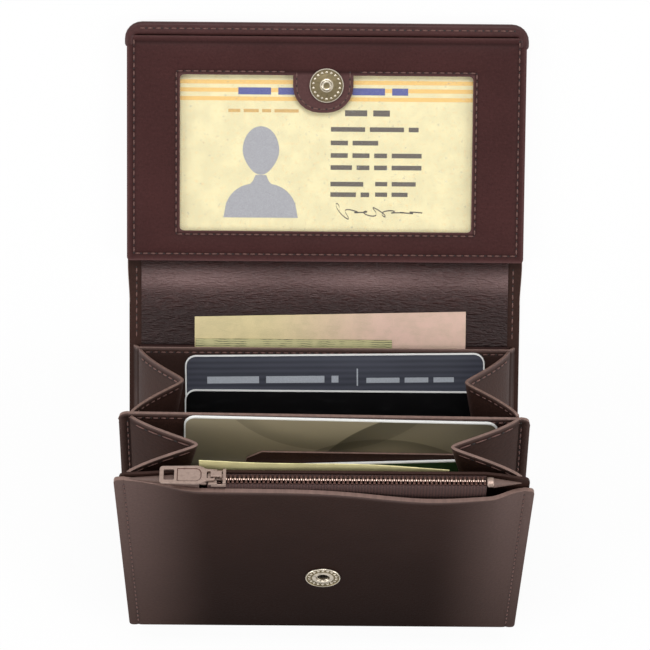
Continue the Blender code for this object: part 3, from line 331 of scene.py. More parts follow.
class Finish:
    """A material: constants stand on its shader's sockets, and what varies is joined to them."""

    def __init__(self, name, follows_surface=True, **constants):
        self.material = bpy.data.materials.new(name)
        self.material.use_nodes = True
        self.tree = self.material.node_tree
        self.shader = self.tree.nodes["Principled BSDF"]
        self.follows_surface = follows_surface
        for key, constant in constants.items():
            self.set(key.replace("_", " "), constant)

    def set(self, socket, value):
        self.join(self.shader.inputs[socket], value)

    def join(self, socket, value):
        if isinstance(value, Value):
            self.tree.links.new(value.socket, socket)
        elif socket.type == "RGBA" and len(value) == 3:
            socket.default_value = (*value, 1.0)
        else:
            socket.default_value = value

    def node(self, kind, settings=None, values=None, output=0):
        """A node of a kind, set up, with its sockets filled or joined."""
        made = self.tree.nodes.new(kind)
        for name, setting in (settings or {}).items():
            if name == "stops":
                while len(made.color_ramp.elements) < len(setting):
                    made.color_ramp.elements.new(HALF)
                for element, (place, level) in zip(made.color_ramp.elements, setting):
                    element.position = place
                    element.color = (level, level, level, 1.0)
            else:
                setattr(made, name, setting)
        for key, value in (values or {}).items():
            self.join(made.inputs[key], value)
        return Value(self, made.outputs[output])

    def place(self, scale=(1.0, 1.0, 1.0), shift=(0.0, 0.0, 0.0)):
        """The point on the surface, in metres, stretched by a scale."""
        if self.follows_surface:
            point = self.node("ShaderNodeUVMap", {"uv_map": "flat"})
        else:
            point = self.node("ShaderNodeTexCoord", output="Object")
        return self.node("ShaderNodeMapping", values={"Vector": point, "Scale": scale, "Location": shift})

    def noise(self, scale, detail=3.0, stretch=(1.0, 1.0, 1.0), roughness=0.55):
        """Cloudy noise from 0 to 1, with this many clouds in a metre."""
        values = {"Vector": self.place(stretch), "Scale": scale, "Detail": detail, "Roughness": roughness}
        return self.node("ShaderNodeTexNoise", values=values, output="Fac")

    def cells(self, scale):
        """Distance from the middles of small cells, as many in a metre as the scale says."""
        return self.node(
            "ShaderNodeTexVoronoi", {"feature": "F1"}, {"Vector": self.place(), "Scale": scale},
            output="Distance",
        )

    def wave(self, direction, scale, distortion, detail=1.0, detail_scale=1.0):
        """Soft bands across X or Y."""
        return self.node("ShaderNodeTexWave", {"bands_direction": direction}, {
            "Vector": self.place(), "Scale": scale, "Distortion": distortion, "Detail": detail,
            "Detail Scale": detail_scale,
        }, output="Fac")

    def attribute(self, name):
        """A value kept at the corners of the mesh."""
        return self.node("ShaderNodeAttribute", {"attribute_name": name}, output="Fac")

    def coordinate(self, axis):
        """How far across (0) or along (1) the surface a point is."""
        return self.node("ShaderNodeSeparateXYZ", values={0: self.place()}, output=axis)

    def ramp(self, value, low, high):
        """0 below the low value, 1 above the high one, and smooth between."""
        return self.node(
            "ShaderNodeMapRange", {"interpolation_type": "SMOOTHSTEP"},
            {"Value": value, "From Min": low, "From Max": high},
        )

    def mix(self, factor, first, second):
        return self.node("ShaderNodeMix", {"data_type": "RGBA"}, {0: factor, 6: first, 7: second}, output=2)

    def bump(self, height, distance, strength=1.0):
        self.set("Normal", self.node(
            "ShaderNodeBump", values={"Height": height, "Distance": distance, "Strength": strength},
        ))


def shade(tone, factor):
    """A colour made lighter or darker."""
    return tuple(min(part * factor, 1.0) for part in tone)


def leather(name, tone, gloss, shine=0.2, wrinkles=0.0, follows_surface=True):
    """Smooth dyed leather: fine pebbled grain, cloudy dye, painted shade in wrinkles, seams and hollows, and
    edge wear with painted highlight.
    """
    made = Finish(name, follows_surface, Specular_IOR_Level=shine)
    clouds = made.noise(45.0, 3.0)
    fine = made.noise(1250.0, 4.0, roughness=0.65)
    pebbles = made.cells(1700.0)
    pores = made.noise(5200.0, 2.0)
    dye = made.mix(made.ramp(clouds, 0.3, 0.72), shade(tone, 0.9), shade(tone, 1.1))
    dye = made.mix(made.ramp(fine, 0.5, 0.72) * 0.4, dye, shade(tone, 1.55))
    dye = made.mix(made.ramp(fine, 0.48, 0.3) * 0.4, dye, shade(tone, 0.5))
    dye = made.mix(made.ramp(pebbles, 0.55, 0.15) * 0.16, dye, shade(tone, 0.55))
    height = pores * 0.25 - pebbles * 0.75 + fine
    if wrinkles:
        wave = made.noise(820.0, 3.0, (0.24, 1.0, 1.0), 0.6)
        ridge = made.node("ShaderNodeMath", {"operation": "ABSOLUTE"}, {0: wave - 0.5})
        crease = made.ramp(ridge, 0.07, 0.0)
        swell = made.noise(150.0, 2.0, (0.3, 1.0, 1.0))
        height = height + ridge * (26.0 * wrinkles) + swell * (9.0 * wrinkles)
        # Painted shade darkens the wrinkles' creases and a painted highlight lightens the leather between
        # them.
        dye = made.mix(crease * 0.6 * min(wrinkles, 1.0), dye, shade(tone, 0.5))
        dye = made.mix(made.ramp(ridge, 0.1, 0.2) * 0.3 * min(wrinkles, 1.0), dye, shade(tone, 1.7))
    # Painted shade darkens the corners marked with it; edge wear and painted highlight lighten those marked
    # with them towards a greyed tone.
    crease = made.attribute("crease")
    rub = made.attribute("rub")
    dye = made.mix(crease * 0.8, dye, shade(tone, 0.25))
    wear_and_highlight_tone = tuple(channel * 3.2 + 0.065 for channel in tone)
    dye = made.mix(rub * (0.45 + fine * 0.5), dye, wear_and_highlight_tone)
    made.set("Base Color", dye)
    made.set("Roughness", gloss + made.ramp(fine, 0.3, 0.7) * 0.12 + crease * 0.2)
    made.bump(height + rub * (9.0 * wrinkles), 0.00006, 0.7)
    return made.material


def hem_finish(name, tone):
    """The leather's cut edge: a light line that is partly edge wear and partly painted highlight."""
    made = Finish(name)
    wear_and_sheen = made.noise(700.0, 4.0)
    fibres = made.noise(3500.0, 2.0)
    made.set("Base Color", made.mix(made.ramp(wear_and_sheen, 0.3, 0.7), shade(tone, 0.82), shade(tone, 1.1)))
    made.set("Roughness", 0.38 + fibres * 0.25)
    made.bump(fibres + wear_and_sheen, 0.00004, 0.6)
    return made.material


def thread_finish(name, tone):
    """Twisted sewing thread."""
    made = Finish(name, False)
    strands = made.noise(4200.0, 2.0)
    made.set("Base Color", made.mix(made.ramp(strands, 0.3, 0.7), shade(tone, 0.6), shade(tone, 1.7)))
    made.set("Roughness", 0.6 + strands * 0.2)
    made.bump(strands, 0.00006, 0.8)
    return made.material


def metal(name, tone, gloss, wear, darkness):
    """Plated metal, dark in its pits and bright where it rubs."""
    made = Finish(name, False, Metallic=0.9)
    spots = made.noise(900.0, 4.0)
    scratches = made.noise(2600.0, 3.0, (0.3, 1.0, 1.0))
    tarnish = made.ramp(spots, 0.42, 0.68)
    base = made.mix(tarnish * wear, tone, shade(tone, darkness))
    made.set("Base Color", made.mix(made.ramp(scratches, 0.55, 0.8) * 0.4, base, shade(tone, 1.35)))
    made.set("Roughness", gloss + tarnish * 0.2)
    made.bump(scratches + spots * 0.5, 0.00002, 0.5)
    return made.material


def tape_finish(name, tone):
    """Woven zip tape: ribs across and fine threads along."""
    made = Finish(name)
    ribs = made.wave("X", 380.0, 0.6)
    threads = made.wave("Y", 520.0, 0.4)
    weave = ribs * threads
    made.set("Base Color", made.mix(weave, shade(tone, 0.55), shade(tone, 1.5)))
    made.set("Roughness", 0.75 + weave * 0.1)
    made.bump(ribs + threads, 0.00008, 0.7)
    return made.material


def paper(name, left, right, ink, span, lines=900.0, strength=0.5):
    """A note: tone turning from one end to the other under fine engraved lines and fibres."""
    made = Finish(name)
    base = made.mix(made.ramp(made.coordinate(0), -span, span), left, tone(*right))
    wave = made.wave("Y", lines, 3.5, 2.0, 0.6)
    fibres = made.noise(2600.0, 4.0)
    blotches = made.noise(220.0, 3.0)
    print_share = made.ramp(wave, 0.62, 0.8) * made.ramp(blotches, 0.35, 0.65) * strength
    tinted = made.mix(print_share, base, tone(*ink))
    made.set("Base Color", made.mix(made.ramp(fibres, 0.35, 0.75) * 0.22, tinted, shade(left, 0.7)))
    made.set("Roughness", 0.72 + fibres * 0.15)
    made.bump(fibres + blotches * 4.0, 0.00003, 0.5)
    return made.material


def printed_plastic(name, tone, gloss, paint=None):
    """A card's glossy face: paint, if given, changes its tone by a function of the finish."""
    made = Finish(name)
    specks = made.noise(1800.0, 2.0)
    base = paint(made) if paint else made.mix(specks * 0.25, tone, shade(tone, 1.35))
    scuffs = made.noise(650.0, 3.0, (0.25, 1.0, 1.0))
    made.set("Base Color", made.mix(made.ramp(scuffs, 0.6, 0.85) * 0.12, base, shade(tone, 1.6)))
    made.set("Roughness", gloss + made.ramp(scuffs, 0.5, 0.8) * 0.12)
    made.set("Specular IOR Level", 0.3)
    made.bump(specks, 0.00001, 0.4)
    return made.material


def ink_finish(name, tone):
    made = Finish(name, False)
    patchy = made.noise(2400.0, 3.0)
    made.set("Base Color", made.mix(made.ramp(patchy, 0.35, 0.8) * 0.4, tone, shade(tone, 1.5)))
    made.set("Roughness", 0.45 + patchy * 0.1)
    return made.material


def tone(name, factor=1.0):
    """One of the wallet's colours, made lighter or darker."""
    return shade(getattr(bpy.context.scene.wallet_colours, name), factor)


def slate_paint(made):
    """Fine lines across the slate card's face."""
    lines = made.wave("Y", 190.0, 0.5)
    clouds = made.noise(60.0, 3.0, (0.3, 1.0, 1.0))
    base = made.mix(lines * 0.55, tone("slate", 0.75), tone("slate", 1.5))
    return made.mix(made.ramp(clouds, 0.35, 0.7) * 0.3, base, tone("slate", 1.7))


def pattern_paint(made):
    """Broad shaded arcs over the pattern card's face, each (x, y, radius, width, strength)."""
    across = made.coordinate(0)
    along = made.coordinate(1)
    base = made.mix(made.ramp(along, 0.006, 0.027), tone("grey_green", 0.55), tone("grey_green", 1.1))
    for x, y, radius, width, strength in (
        (0.03, -0.012, 0.043, 0.012, 0.75), (0.012, -0.02, 0.04, 0.004, 0.45),
        (-0.004, 0.05, 0.034, 0.006, 0.3),
    ):
        distance = ((across - x) ** 2.0 + (along - y) ** 2.0) ** 0.5
        band = made.ramp(distance, radius - width, radius)
        band = band * (1 - made.ramp(distance, radius, radius + 0.0004))
        base = made.mix(band * strength, base, tone("grey_green", 0.14))
    return base


def identity_paint(made):
    """Warm mottled paper tone."""
    clouds = made.noise(170.0, 4.0)
    fine = made.noise(1100.0, 3.0)
    base = made.mix(made.ramp(clouds, 0.35, 0.68), tone("identity", 0.93), tone("identity", 1.04))
    return made.mix(made.ramp(fine, 0.5, 0.75) * 0.3, base, tone("stripe", 1.05))


# Each finish: how it is built, its colour, how light or dark that is made, and its other values
FINISHES = {
    "wallet_leather": (leather, "leather", 1.0, {"gloss": 0.34, "shine": 0.09}),
    "pouch_leather": (leather, "leather", 1.0, {"gloss": 0.38, "shine": 0.03}),
    "pocket_leather": (leather, "leather", 1.05, {"gloss": 0.42, "shine": 0.1}),
    "flap_leather": (leather, "flap_leather", 1.0, {"gloss": 0.42, "shine": 0.09, "wrinkles": 0.12}),
    "spine_lining_leather": (leather, "lining", 1.0, {"gloss": 0.34, "shine": 0.28, "wrinkles": 1.5}),
    "edge_leather": (leather, "flap_leather", 1.0, {"gloss": 0.45, "follows_surface": False}),
    "roll_leather": (leather, "flap_leather", 1.05, {"gloss": 0.4, "follows_surface": False}),
    "pocket_lining": (leather, "lining", 1.0, {"gloss": 0.55, "follows_surface": False}),
    "tape_end_weave": (leather, "hem", 0.62, {"gloss": 0.5, "shine": 0.4, "follows_surface": False}),
    # Rims: partly edge wear, partly painted highlight where light catches the turned edges.
    "hem_line": (hem_finish, "hem", 1.0, {}),
    "sewing_thread": (thread_finish, "thread", 1.0, {}),
    # Painted shade of the needle holes, as a dark finish on a flat bead.
    "needle_hole": (thread_finish, "leather", 0.18, {}),
    "antique_nickel_finish": (metal, "nickel", 1.0, {"gloss": 0.24, "wear": 0.5, "darkness": 0.3}),
    "dark_patina": (metal, "patina", 1.0, {"gloss": 0.4, "wear": 0.4, "darkness": 0.4}),
    "zip_metal_finish": (metal, "zip_metal", 1.0, {"gloss": 0.42, "wear": 0.35, "darkness": 0.6}),
    "teeth_metal_finish": (metal, "teeth_metal", 1.0, {"gloss": 0.28, "wear": 0.4, "darkness": 0.4}),
    # The teeth heads: a brighter copy of the zip metal, as a painted glint.
    "teeth_head_finish": (metal, "zip_metal", 2.3, {"gloss": 0.2, "wear": 0.3, "darkness": 0.5}),
    "zip_tape_weave": (tape_finish, "zip_tape", 1.0, {}),
    "card_edge_plastic": (printed_plastic, "card_edge", 1.0, {"gloss": 0.35}),
    "slate_face": (printed_plastic, "slate", 1.0, {"gloss": 0.32, "paint": slate_paint}),
    "black_face": (printed_plastic, "black", 1.0, {"gloss": 0.3}),
    "pattern_face": (printed_plastic, "grey_green", 1.0, {"gloss": 0.3, "paint": pattern_paint}),
    "green_face": (printed_plastic, "green", 1.0, {"gloss": 0.32}),
    "identity_face": (printed_plastic, "identity", 1.0, {"gloss": 0.4, "paint": identity_paint}),
    "rear_note_paper": (paper, "cream_paper", 1.0, {
        "right": ("pink_paper",), "ink": ("edge_paper", 0.5), "span": 0.022,
    }),
    "edge_note_paper": (paper, "edge_paper", 1.0, {
        "right": ("edge_paper", 0.9), "ink": ("green", 0.5), "span": 0.02, "lines": 500.0, "strength": 0.9,
    }),
    "front_note_paper": (paper, "yellow_paper", 1.0, {
        "right": ("yellow_paper",), "ink": ("yellow_paper", 0.5), "span": 0.03,
    }),
    "pale_print": (ink_finish, "pale_ink", 1.0, {}),
    "stripe_ink": (ink_finish, "stripe", 1.0, {}),
    "orange_ink": (ink_finish, "stripe", 0.72, {}),
    "title_ink": (ink_finish, "title_ink", 1.0, {}),
    "text_ink": (ink_finish, "text_ink", 1.0, {}),
    "portrait_ink": (ink_finish, "portrait", 1.0, {}),
}
SHELL_FINISH = ("wallet_leather", "hem_line")
POUCH_FINISH = ("pouch_leather", "hem_line")
POCKET_FINISH = ("pocket_leather", "hem_line")
STUD_FINISH = ("antique_nickel_finish", "dark_patina")


def material(name):
    """The material of that name, built the first time it is asked for."""
    found = bpy.data.materials.get(name)
    if found:
        return found
    build, colour_name, factor, options = FINISHES[name]
    return build(name, tone(colour_name, factor), **options)


def stage():
    return bpy.context.scene.wallet_stage


def sizes():
    return bpy.context.scene.wallet_sizes


def object_of(name, maker, finishes):
    """The object of a bmesh, smooth, in the scene and at the origin."""
    mesh = bpy.data.meshes.new(name)
    maker.to_mesh(mesh)
    maker.free()
    for finish in finishes:
        mesh.materials.append(material(finish))
    mesh.shade_smooth()
    made = bpy.data.objects.new(name, mesh)
    bpy.context.scene.collection.objects.link(made)
    return made


def rounded(piece, width, segments, limit=None):
    """Rounds the edges that a weight marks, or those sharper than a limit in degrees."""
    rounding = piece.modifiers.new("rounding", "BEVEL")
    rounding.limit_method = "ANGLE" if limit else "WEIGHT"
    if limit:
        rounding.angle_limit = math.radians(limit)
    rounding.width = width
    rounding.segments = segments
    rounding.harden_normals = True


def closed(name, maker, finishes, width, segments=3, limit=35):
    """The object of a closed shape, its faces turned outwards and its edges rounded."""
    bmesh.ops.recalc_face_normals(maker, faces=maker.faces)
    piece = object_of(name, maker, finishes)
    rounded(piece, width, segments, limit)
    return piece


def seated(piece, body, slot, *nodes):
    """A piece on its body, with the nodes that it stands for hidden. Its slot is not used."""
    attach(piece, body)
    if nodes:
        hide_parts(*nodes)


def bent(piece, lower, upper, fold, slot, *nodes):
    """A piece whose place is baked into its mesh, with the nodes it stands for hidden. Its two bodies, its
    fold and its slot are not used.
    """
    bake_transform(piece)
    if nodes:
        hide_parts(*nodes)


def thickened(name, maker, thickness, finishes, rounding, joined=None, back_finish=0):
    """Gives a sheet its thickness and rounded edges. An edge that joins another skin stays square."""
    weight = maker.edges.layers.float.new("bevel_weight_edge")
    for edge in maker.edges:
        if edge.is_boundary:
            square = joined is not None and all(joined(vert.co) for vert in edge.verts)
            edge[weight] = 0.0 if square else 1.0
            edge.smooth = not square
    made = object_of(name, maker, finishes)
    body = made.modifiers.new("thickness", "SOLIDIFY")
    body.thickness = thickness
    body.offset = 0.0
    body.material_offset_rim = len(finishes) - 1
    body.material_offset = back_finish
    rounded(made, min(rounding, thickness * 0.48), 3)
    return made


def carried(maker, spots, place, metres, marks):
    """Carries the corners from their spots to their place.

    Each face keeps its spots, in metres, as its flat map, and each corner its marks: how much painted
    shade darkens it, and how much edge wear and painted highlight lighten it."""
    maker.verts.index_update()
    flat = maker.loops.layers.uv.new("flat")
    layers = [maker.verts.layers.float.new(name) for name in ("crease", "rub")]
    for face in maker.faces:
        for loop in face.loops:
            x, y = spots[loop.vert.index]
            loop[flat].uv = (x * metres[0], y * metres[1])
    for vert, spot in zip(maker.verts, spots):
        vert.co = place(*spot)
        for layer, mark in zip(layers, marks(*spot) if marks else (0.0, 0.0)):
            vert[layer] = mark


def skin(
    name, place, across, along, thickness, finishes,
    joined=None, rounding=None, metres=(1.0, 1.0), marks=None, hole=None,
):
    """A sheet of leather or paper: a grid with uneven stations, carried to its place.

    Metres says how long one unit of the stations is each way. A hole is a centre and a radius."""
    maker = bmesh.new()
    columns = len(across) - 1
    rows = len(along) - 1
    bmesh.ops.create_grid(maker, x_segments=columns, y_segments=rows, size=HALF)
    spots = []
    for vert in maker.verts:
        column = round((vert.co.x + HALF) * columns)
        row = round((vert.co.y + HALF) * rows)
        spots.append((across[column], along[row]))
    carried(maker, spots, place, metres, marks)
    if hole:
        inside = [face for face in maker.faces if (face.calc_center_median() - hole[0]).length < hole[1]]
        bmesh.ops.delete(maker, geom=inside, context="FACES")
    return thickened(name, maker, thickness, finishes, rounding or sizes().edge_round, joined)


def outlined(maker, corners):
    """A flat face with these (x, y, radius) corners, rounded."""
    verts = [maker.verts.new((x, y, 0.0)) for x, y, _ in corners]
    maker.faces.new(verts)
    for radius in sorted({radius for _, _, radius in corners if radius > 0.0}):
        chosen = [vert for vert, corner in zip(verts, corners) if corner[2] == radius]
        bmesh.ops.bevel(
            maker, geom=chosen, offset=radius, offset_type="OFFSET", affect="VERTICES",
            segments=6, profile=0.5, material=-1,
        )


def outlines(maker, *loops):
    """The bare outlines of these loops of corners, ready to be filled."""
    for loop in loops:
        outlined(maker, loop)
    bmesh.ops.delete(maker, geom=list(maker.faces), context="FACES_ONLY")


def box_corners(left, right, low, high, low_radius=0.0, high_radius=0.0):
    return [
        (left, low, low_radius), (right, low, low_radius),
        (right, high, high_radius), (left, high, high_radius),
    ]


def raised(maker, height):
    """Gives flat faces a height."""
    made = bmesh.ops.extrude_face_region(maker, geom=list(maker.faces))
    moved = [item for item in made["geom"] if isinstance(item, bmesh.types.BMVert)]
    bmesh.ops.translate(maker, verts=moved, vec=(0.0, 0.0, height))


def plate(
    name, corners, place, thickness, finishes, rounding,
    holes=(), cuts=((), ()), back_finish=0, margin=0.0, marks=None,
):
    """A sheet cut to an outline, with holes, and with lines of corners where it bends.

    A margin round its edge takes the edge's finish."""
    maker = bmesh.new()
    outlines(maker, corners, *holes)
    bmesh.ops.triangle_fill(maker, use_beauty=True, normal=(0.0, 0.0, 1.0), edges=maker.edges)
    for values, turn in zip(cuts, (Vector((1.0, 0.0, 0.0)), Vector((0.0, 1.0, 0.0)))):
        for value in values:
            bmesh.ops.bisect_plane(
                maker, geom=[*maker.verts, *maker.edges, *maker.faces], dist=TINY,
                plane_co=turn * value, plane_no=turn,
            )
    maker.normal_update()
    for face in maker.faces:
        if face.normal.z < 0:
            face.normal_flip()
    if margin:
        ring = bmesh.ops.inset_region(
            maker, faces=maker.faces, thickness=margin, use_even_offset=True, use_boundary=True,
        )
        for face in ring["faces"]:
            face.material_index = 1
    carried(maker, [(vert.co.x, vert.co.y) for vert in maker.verts], place, (1.0, 1.0), marks)
    return thickened(name, maker, thickness, finishes, rounding, back_finish=back_finish)


def normal_at(place, x, y):
    step = 0.00005
    right = place(x + step, y) - place(x - step, y)
    up = place(x, y + step) - place(x, y - step)
    return right.cross(up).normalized()


def seam(place, runs, lift=0.0, scale=(1.0, 1.0)):
    """Where the stitches of several lines lie: their ends, the surface's normal and the spot.

    Scale turns the spots' units into metres, for surfaces that aren't measured in them."""
    found = []
    for start, end in (pair for points in runs for pair in zip(points, points[1:])):
        reach = math.hypot((end[0] - start[0]) * scale[0], (end[1] - start[1]) * scale[1])
        count = max(round(reach / sizes().stitch_pitch), 1)
        half_share = sizes().stitch_length * HALF / reach
        for index in range(count):
            middle = (index + HALF) / count
            spots = []
            for share in (middle - half_share, middle + half_share):
                spots.append([a + (b - a) * share for a, b in zip(start, end)])
            spot = [(a + b) * HALF for a, b in zip(*spots)]
            normal = normal_at(place, *spot)
            found.append((place(*spots[0]) + normal * lift, place(*spots[1]) + normal * lift, normal, spot))
    return found


def arc(x, y, radius, start, end):
    """Points on an arc round a centre, with the angles in degrees."""
    steps = 5
    angles = [math.radians(start + (end - start) * step / steps) for step in range(steps + 1)]
    return [(x + radius * math.cos(angle), y + radius * math.sin(angle)) for angle in angles]


def stitch_mesh():
    """One stitch as long and wide as 1 each way: a domed thread and, after it, a flat dark bead as the
    painted shade of the needle hole.
    """
    maker = bmesh.new()
    bmesh.ops.create_uvsphere(maker, u_segments=6, v_segments=4, radius=1.0)
    flat = Matrix.Diagonal((1.15, 0.4, 0.36, 1.0))
    gap = bmesh.ops.create_uvsphere(
        maker, u_segments=6, v_segments=3, radius=1.0, matrix=Matrix.Translation((0.0, 0.0, 1.24)) @ flat,
    )
    for face in {face for vert in gap["verts"] for face in vert.link_faces}:
        face.material_index = 1
    bmesh.ops.recalc_face_normals(maker, faces=maker.faces)
    unit = bpy.data.meshes.new("stitch_unit")
    maker.to_mesh(unit)
    maker.free()
    return unit


def stitches(name, seams):
    """One object of all the stitches of the seams."""
    unit = bpy.data.meshes.get("stitch_unit") or stitch_mesh()
    maker = bmesh.new()
    width = sizes().thread_width * HALF
    shares = []
    for start, end, normal, spot in seams:
        along = (end - start) * HALF
        side = normal.cross(along).normalized() * width
        turn = Matrix((side, normal * width * 0.8, along)).transposed().to_4x4()
        place = Matrix.Translation((start + end) * HALF) @ turn
        before = len(maker.verts)
        maker.from_mesh(unit)
        maker.verts.ensure_lookup_table()
        bmesh.ops.transform(maker, matrix=place, verts=maker.verts[before:])
        shares += [spot[0]] * (len(maker.verts) - before)
    return object_of(name, maker, ("sewing_thread", "needle_hole")), shares


def sewn(name, body, slot, place, runs, lift=0.0, scale=(1.0, 1.0)):
    """The stitches of several lines, on their body."""
    piece, _ = stitches(name, seam(place, runs, lift, scale))
    seated(piece, body, slot)


def blend_by_shares(piece, shares, lower, upper):
    """Bakes the piece's place into its mesh and keeps its corners where they were.

    While the place is baked in, the corners stand at heights smoothed from their shares. The lower and upper
    leaves are not used."""
    rest = [vert.co.copy() for vert in piece.data.vertices]
    for vert, share in zip(piece.data.vertices, shares):
        vert.co = (0.0, 0.0, HALF - math.sin(math.asin(1 - 2 * min(max(share, 0.0), 1.0)) / 3))
    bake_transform(piece)
    for vert, place in zip(piece.data.vertices, rest):
        vert.co = place


def lathe(maker, profile, place):
    """Spins a (radius, height) profile about the place's own third axis."""
    verts = [maker.verts.new((radius, 0.0, height)) for radius, height in profile]
    edges = [maker.edges.new(pair) for pair in zip(verts, verts[1:])]
    bmesh.ops.spin(
        maker, geom=[*verts, *edges], cent=(0.0, 0.0, 0.0), axis=(0.0, 0.0, 1.0),
        angle=2 * math.pi, steps=40, use_merge=True,
    )
    bmesh.ops.remove_doubles(maker, verts=maker.verts, dist=TINY)
    bmesh.ops.recalc_face_normals(maker, faces=maker.faces)
    bmesh.ops.transform(maker, matrix=place, verts=maker.verts)


def darkened(maker, place, inner, outer):
    """Gives the faces between two radii about the place's axis the second finish."""
    back = place.inverted()
    for face in maker.faces:
        centre = back @ face.calc_center_median()
        if inner < math.hypot(centre.x, centre.y) < outer and centre.z > 0.0002:
            face.material_index = 1


def face_matrix(leaf, x, along, off):
    """A matrix that lays flat shapes on a leaf."""
    turn = Matrix((Vector((1.0, 0.0, 0.0)), leaf.run, leaf.face)).transposed().to_4x4()
    return Matrix.Translation(leaf.at(x, along, off)) @ turn


def shell_place(x, y):
    """The shell's skin: flat, with round corners at its foot."""
    edge = SHELL_HALF
    if y < FOOT_Y + SHELL_CORNER:
        rise = SHELL_CORNER - (y - FOOT_Y)
        edge = SHELL_HALF - SHELL_CORNER + math.sqrt(max(SHELL_CORNER ** 2 - rise ** 2, 0.0))
    return Vector((x / SHELL_HALF * edge, y, SHELL_MIDDLE))


def upper_shell_place(x, y):
    """The shell's skin from the middle of the spine on, where it widens to the flap."""
    widening = smooth((y - SPINE_MIDDLE) / (FLAP_FOLD.y - SPINE_MIDDLE))
    half = SHELL_HALF + (FLAP_HALF - SHELL_HALF) * widening
    return Vector((x / SHELL_HALF * half, y, SHELL_MIDDLE))


def in_spine_middle(point):
    """Whether a corner is where the skins on both sides of the spine's middle join."""
    return abs(point.y - SPINE_MIDDLE) < TINY


def make_shell():
    across = mirrored(stations(
        0.0, (SHELL_HALF - SHELL_CORNER, 16), (SHELL_HALF - 0.0005, 5), (SHELL_HALF, 1),
    ))
    rows = stations(
        FOOT_Y, (FOOT_Y + 0.0005, 2), (FOOT_Y + SHELL_CORNER, 6),
        (SPINE_FOLD.y - FOLD_REACH, 18), (SPINE_FOLD.y + FOLD_REACH, 12), (SPINE_MIDDLE, 8),
    )
    lower = skin("shell_lower", shell_place, across, rows, SHELL_THICKNESS, SHELL_FINISH, in_spine_middle)
    bent(lower, "back", "spine", SPINE_FOLD, "shell_leather", "back_panel", "spine_panel")
    rows = stations(
        SPINE_MIDDLE, (FLAP_FOLD.y - FOLD_REACH, 8), (FLAP_FOLD.y + FOLD_REACH, 12), (ROLL_LOW.y, 16),
    )
    upper = skin(
        "shell_upper", upper_shell_place, across, rows, SHELL_THICKNESS, SHELL_FINISH, in_spine_middle,
    )
    bent(upper, "spine", "flap", FLAP_FOLD, "shell_leather", "flap_panel")
    make_spine_lining()
    make_shell_seams()


def lining_height(x, y):
    """Soft folds across the lining: a long swell near the flap and small puckers."""
    crest = FLAP_FOLD.y - 0.0042 + 0.0006 * math.sin(x * 60)
    swell = 0.00008 * bump_at(y, crest, 0.0026) * (0.85 + 0.15 * math.sin(x * 130))
    dip = 0.0001 * bump_at(y, SPINE_FOLD.y + 0.004, 0.003) * (0.6 + 0.4 * math.sin(x * 110))
    return swell - dip


def make_spine_lining():
    low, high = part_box("spine_lining")
    z = (low.z + high.z) * HALF
    half = high.x

    def place(x, y):
        edge = smooth((half - abs(x)) / 0.0015)
        return Vector((x, y, z + lining_height(x, y) * edge))

    def marks(x, y):
        crest = bump_at(y, FLAP_FOLD.y - 0.0048, 0.003) * (0.8 + 0.2 * math.sin(x * 130))
        # Painted shade towards the spine's lower fold, and a painted highlight along the swell near the flap.
        return 0.7 * smooth((0.0085 - y) / 0.006), 1.3 * crest

    across = mirrored(stations(0.0, (half - 0.004, 30), (half - 0.0005, 5), (half, 1)))

    def half_lining(name, rows):
        return skin(
            name, place, across, rows, high.z - low.z, ("spine_lining_leather",), in_spine_middle,
            rounding=0.00015, marks=marks,
        )

    lower = half_lining("lining_lower", stations(SPINE_FOLD.y - 0.0006, (SPINE_MIDDLE, 30)))
    bent(lower, "back", "spine", SPINE_FOLD, "lining_leather", "spine_lining")
    upper = half_lining("lining_upper", stations(SPINE_MIDDLE, (FLAP_FOLD.y + 0.0008, 34)))
    bent(upper, "spine", "flap", FLAP_FOLD, "lining_leather")


def make_shell_seams():
    side = SHELL_HALF - 0.0021
    sewn("spine_side_seams", "spine", "shell_leather", shell_place, [
        [(x, SPINE_FOLD.y + 0.001), (x, FLAP_FOLD.y - 0.001)] for x in (-side, side)
    ], SHELL_THICKNESS * HALF)

    def underside(x, y):
        return Vector((-x, y, BACK_LOW.z))

    gap = 0.003  # between the seams of two sides, and between a seam and a fold
    edge = SHELL_HALF - OUTER_SEAM
    foot = FOOT_Y + OUTER_SEAM
    sewn("back_outer_seams", "back", "shell_leather", underside, [
        [(edge, SPINE_FOLD.y - gap), (edge, foot + gap)],
        [(edge - gap, foot), (-edge + gap, foot)],
        [(-edge, foot + gap), (-edge, SPINE_FOLD.y - gap)],
    ])
    edge = FLAP_HALF - OUTER_SEAM
    sewn("flap_outer_seams", "flap", "shell_leather", underside, [
        [(x, FLAP_FOLD.y + gap), (x, ROLL_LOW.y - 0.001)] for x in (edge, -edge)
    ])


def divider_place(x, along):
    """The bill divider: a rising sheet whose sides and foot go down to the shell."""
    point = DIVIDER.at(x, along, -DIVIDER_LEATHER * HALF)
    half = DIVIDER_HIGH.x
    side = smooth((abs(x) - (half - 0.0016)) / 0.0016)
    foot = smooth((0.0022 - along) / 0.0022)
    down = max(side, foot)
    floor = BACK_HIGH.z + DIVIDER_LEATHER * HALF
    point.z += (floor - point.z) * down
    middle = smooth((half - 0.006 - abs(x)) / 0.02)
    point.z -= 0.0003 * middle * smooth(along / DIVIDER_LENGTH)
    groove = bump_at(along, DIVIDER_LENGTH - sizes().hem_inset, 0.0004)
    point.z -= sizes().seam_groove * groove * (1 - down)
    return point


def hem_marks(distance, from_seam):
    """Edge wear with a painted highlight at an edge, and painted shade in the seam's groove beside it."""
    return bump_at(from_seam, 0.0, 0.0005) * 0.7, bump_at(distance, 0.0, 0.0006)


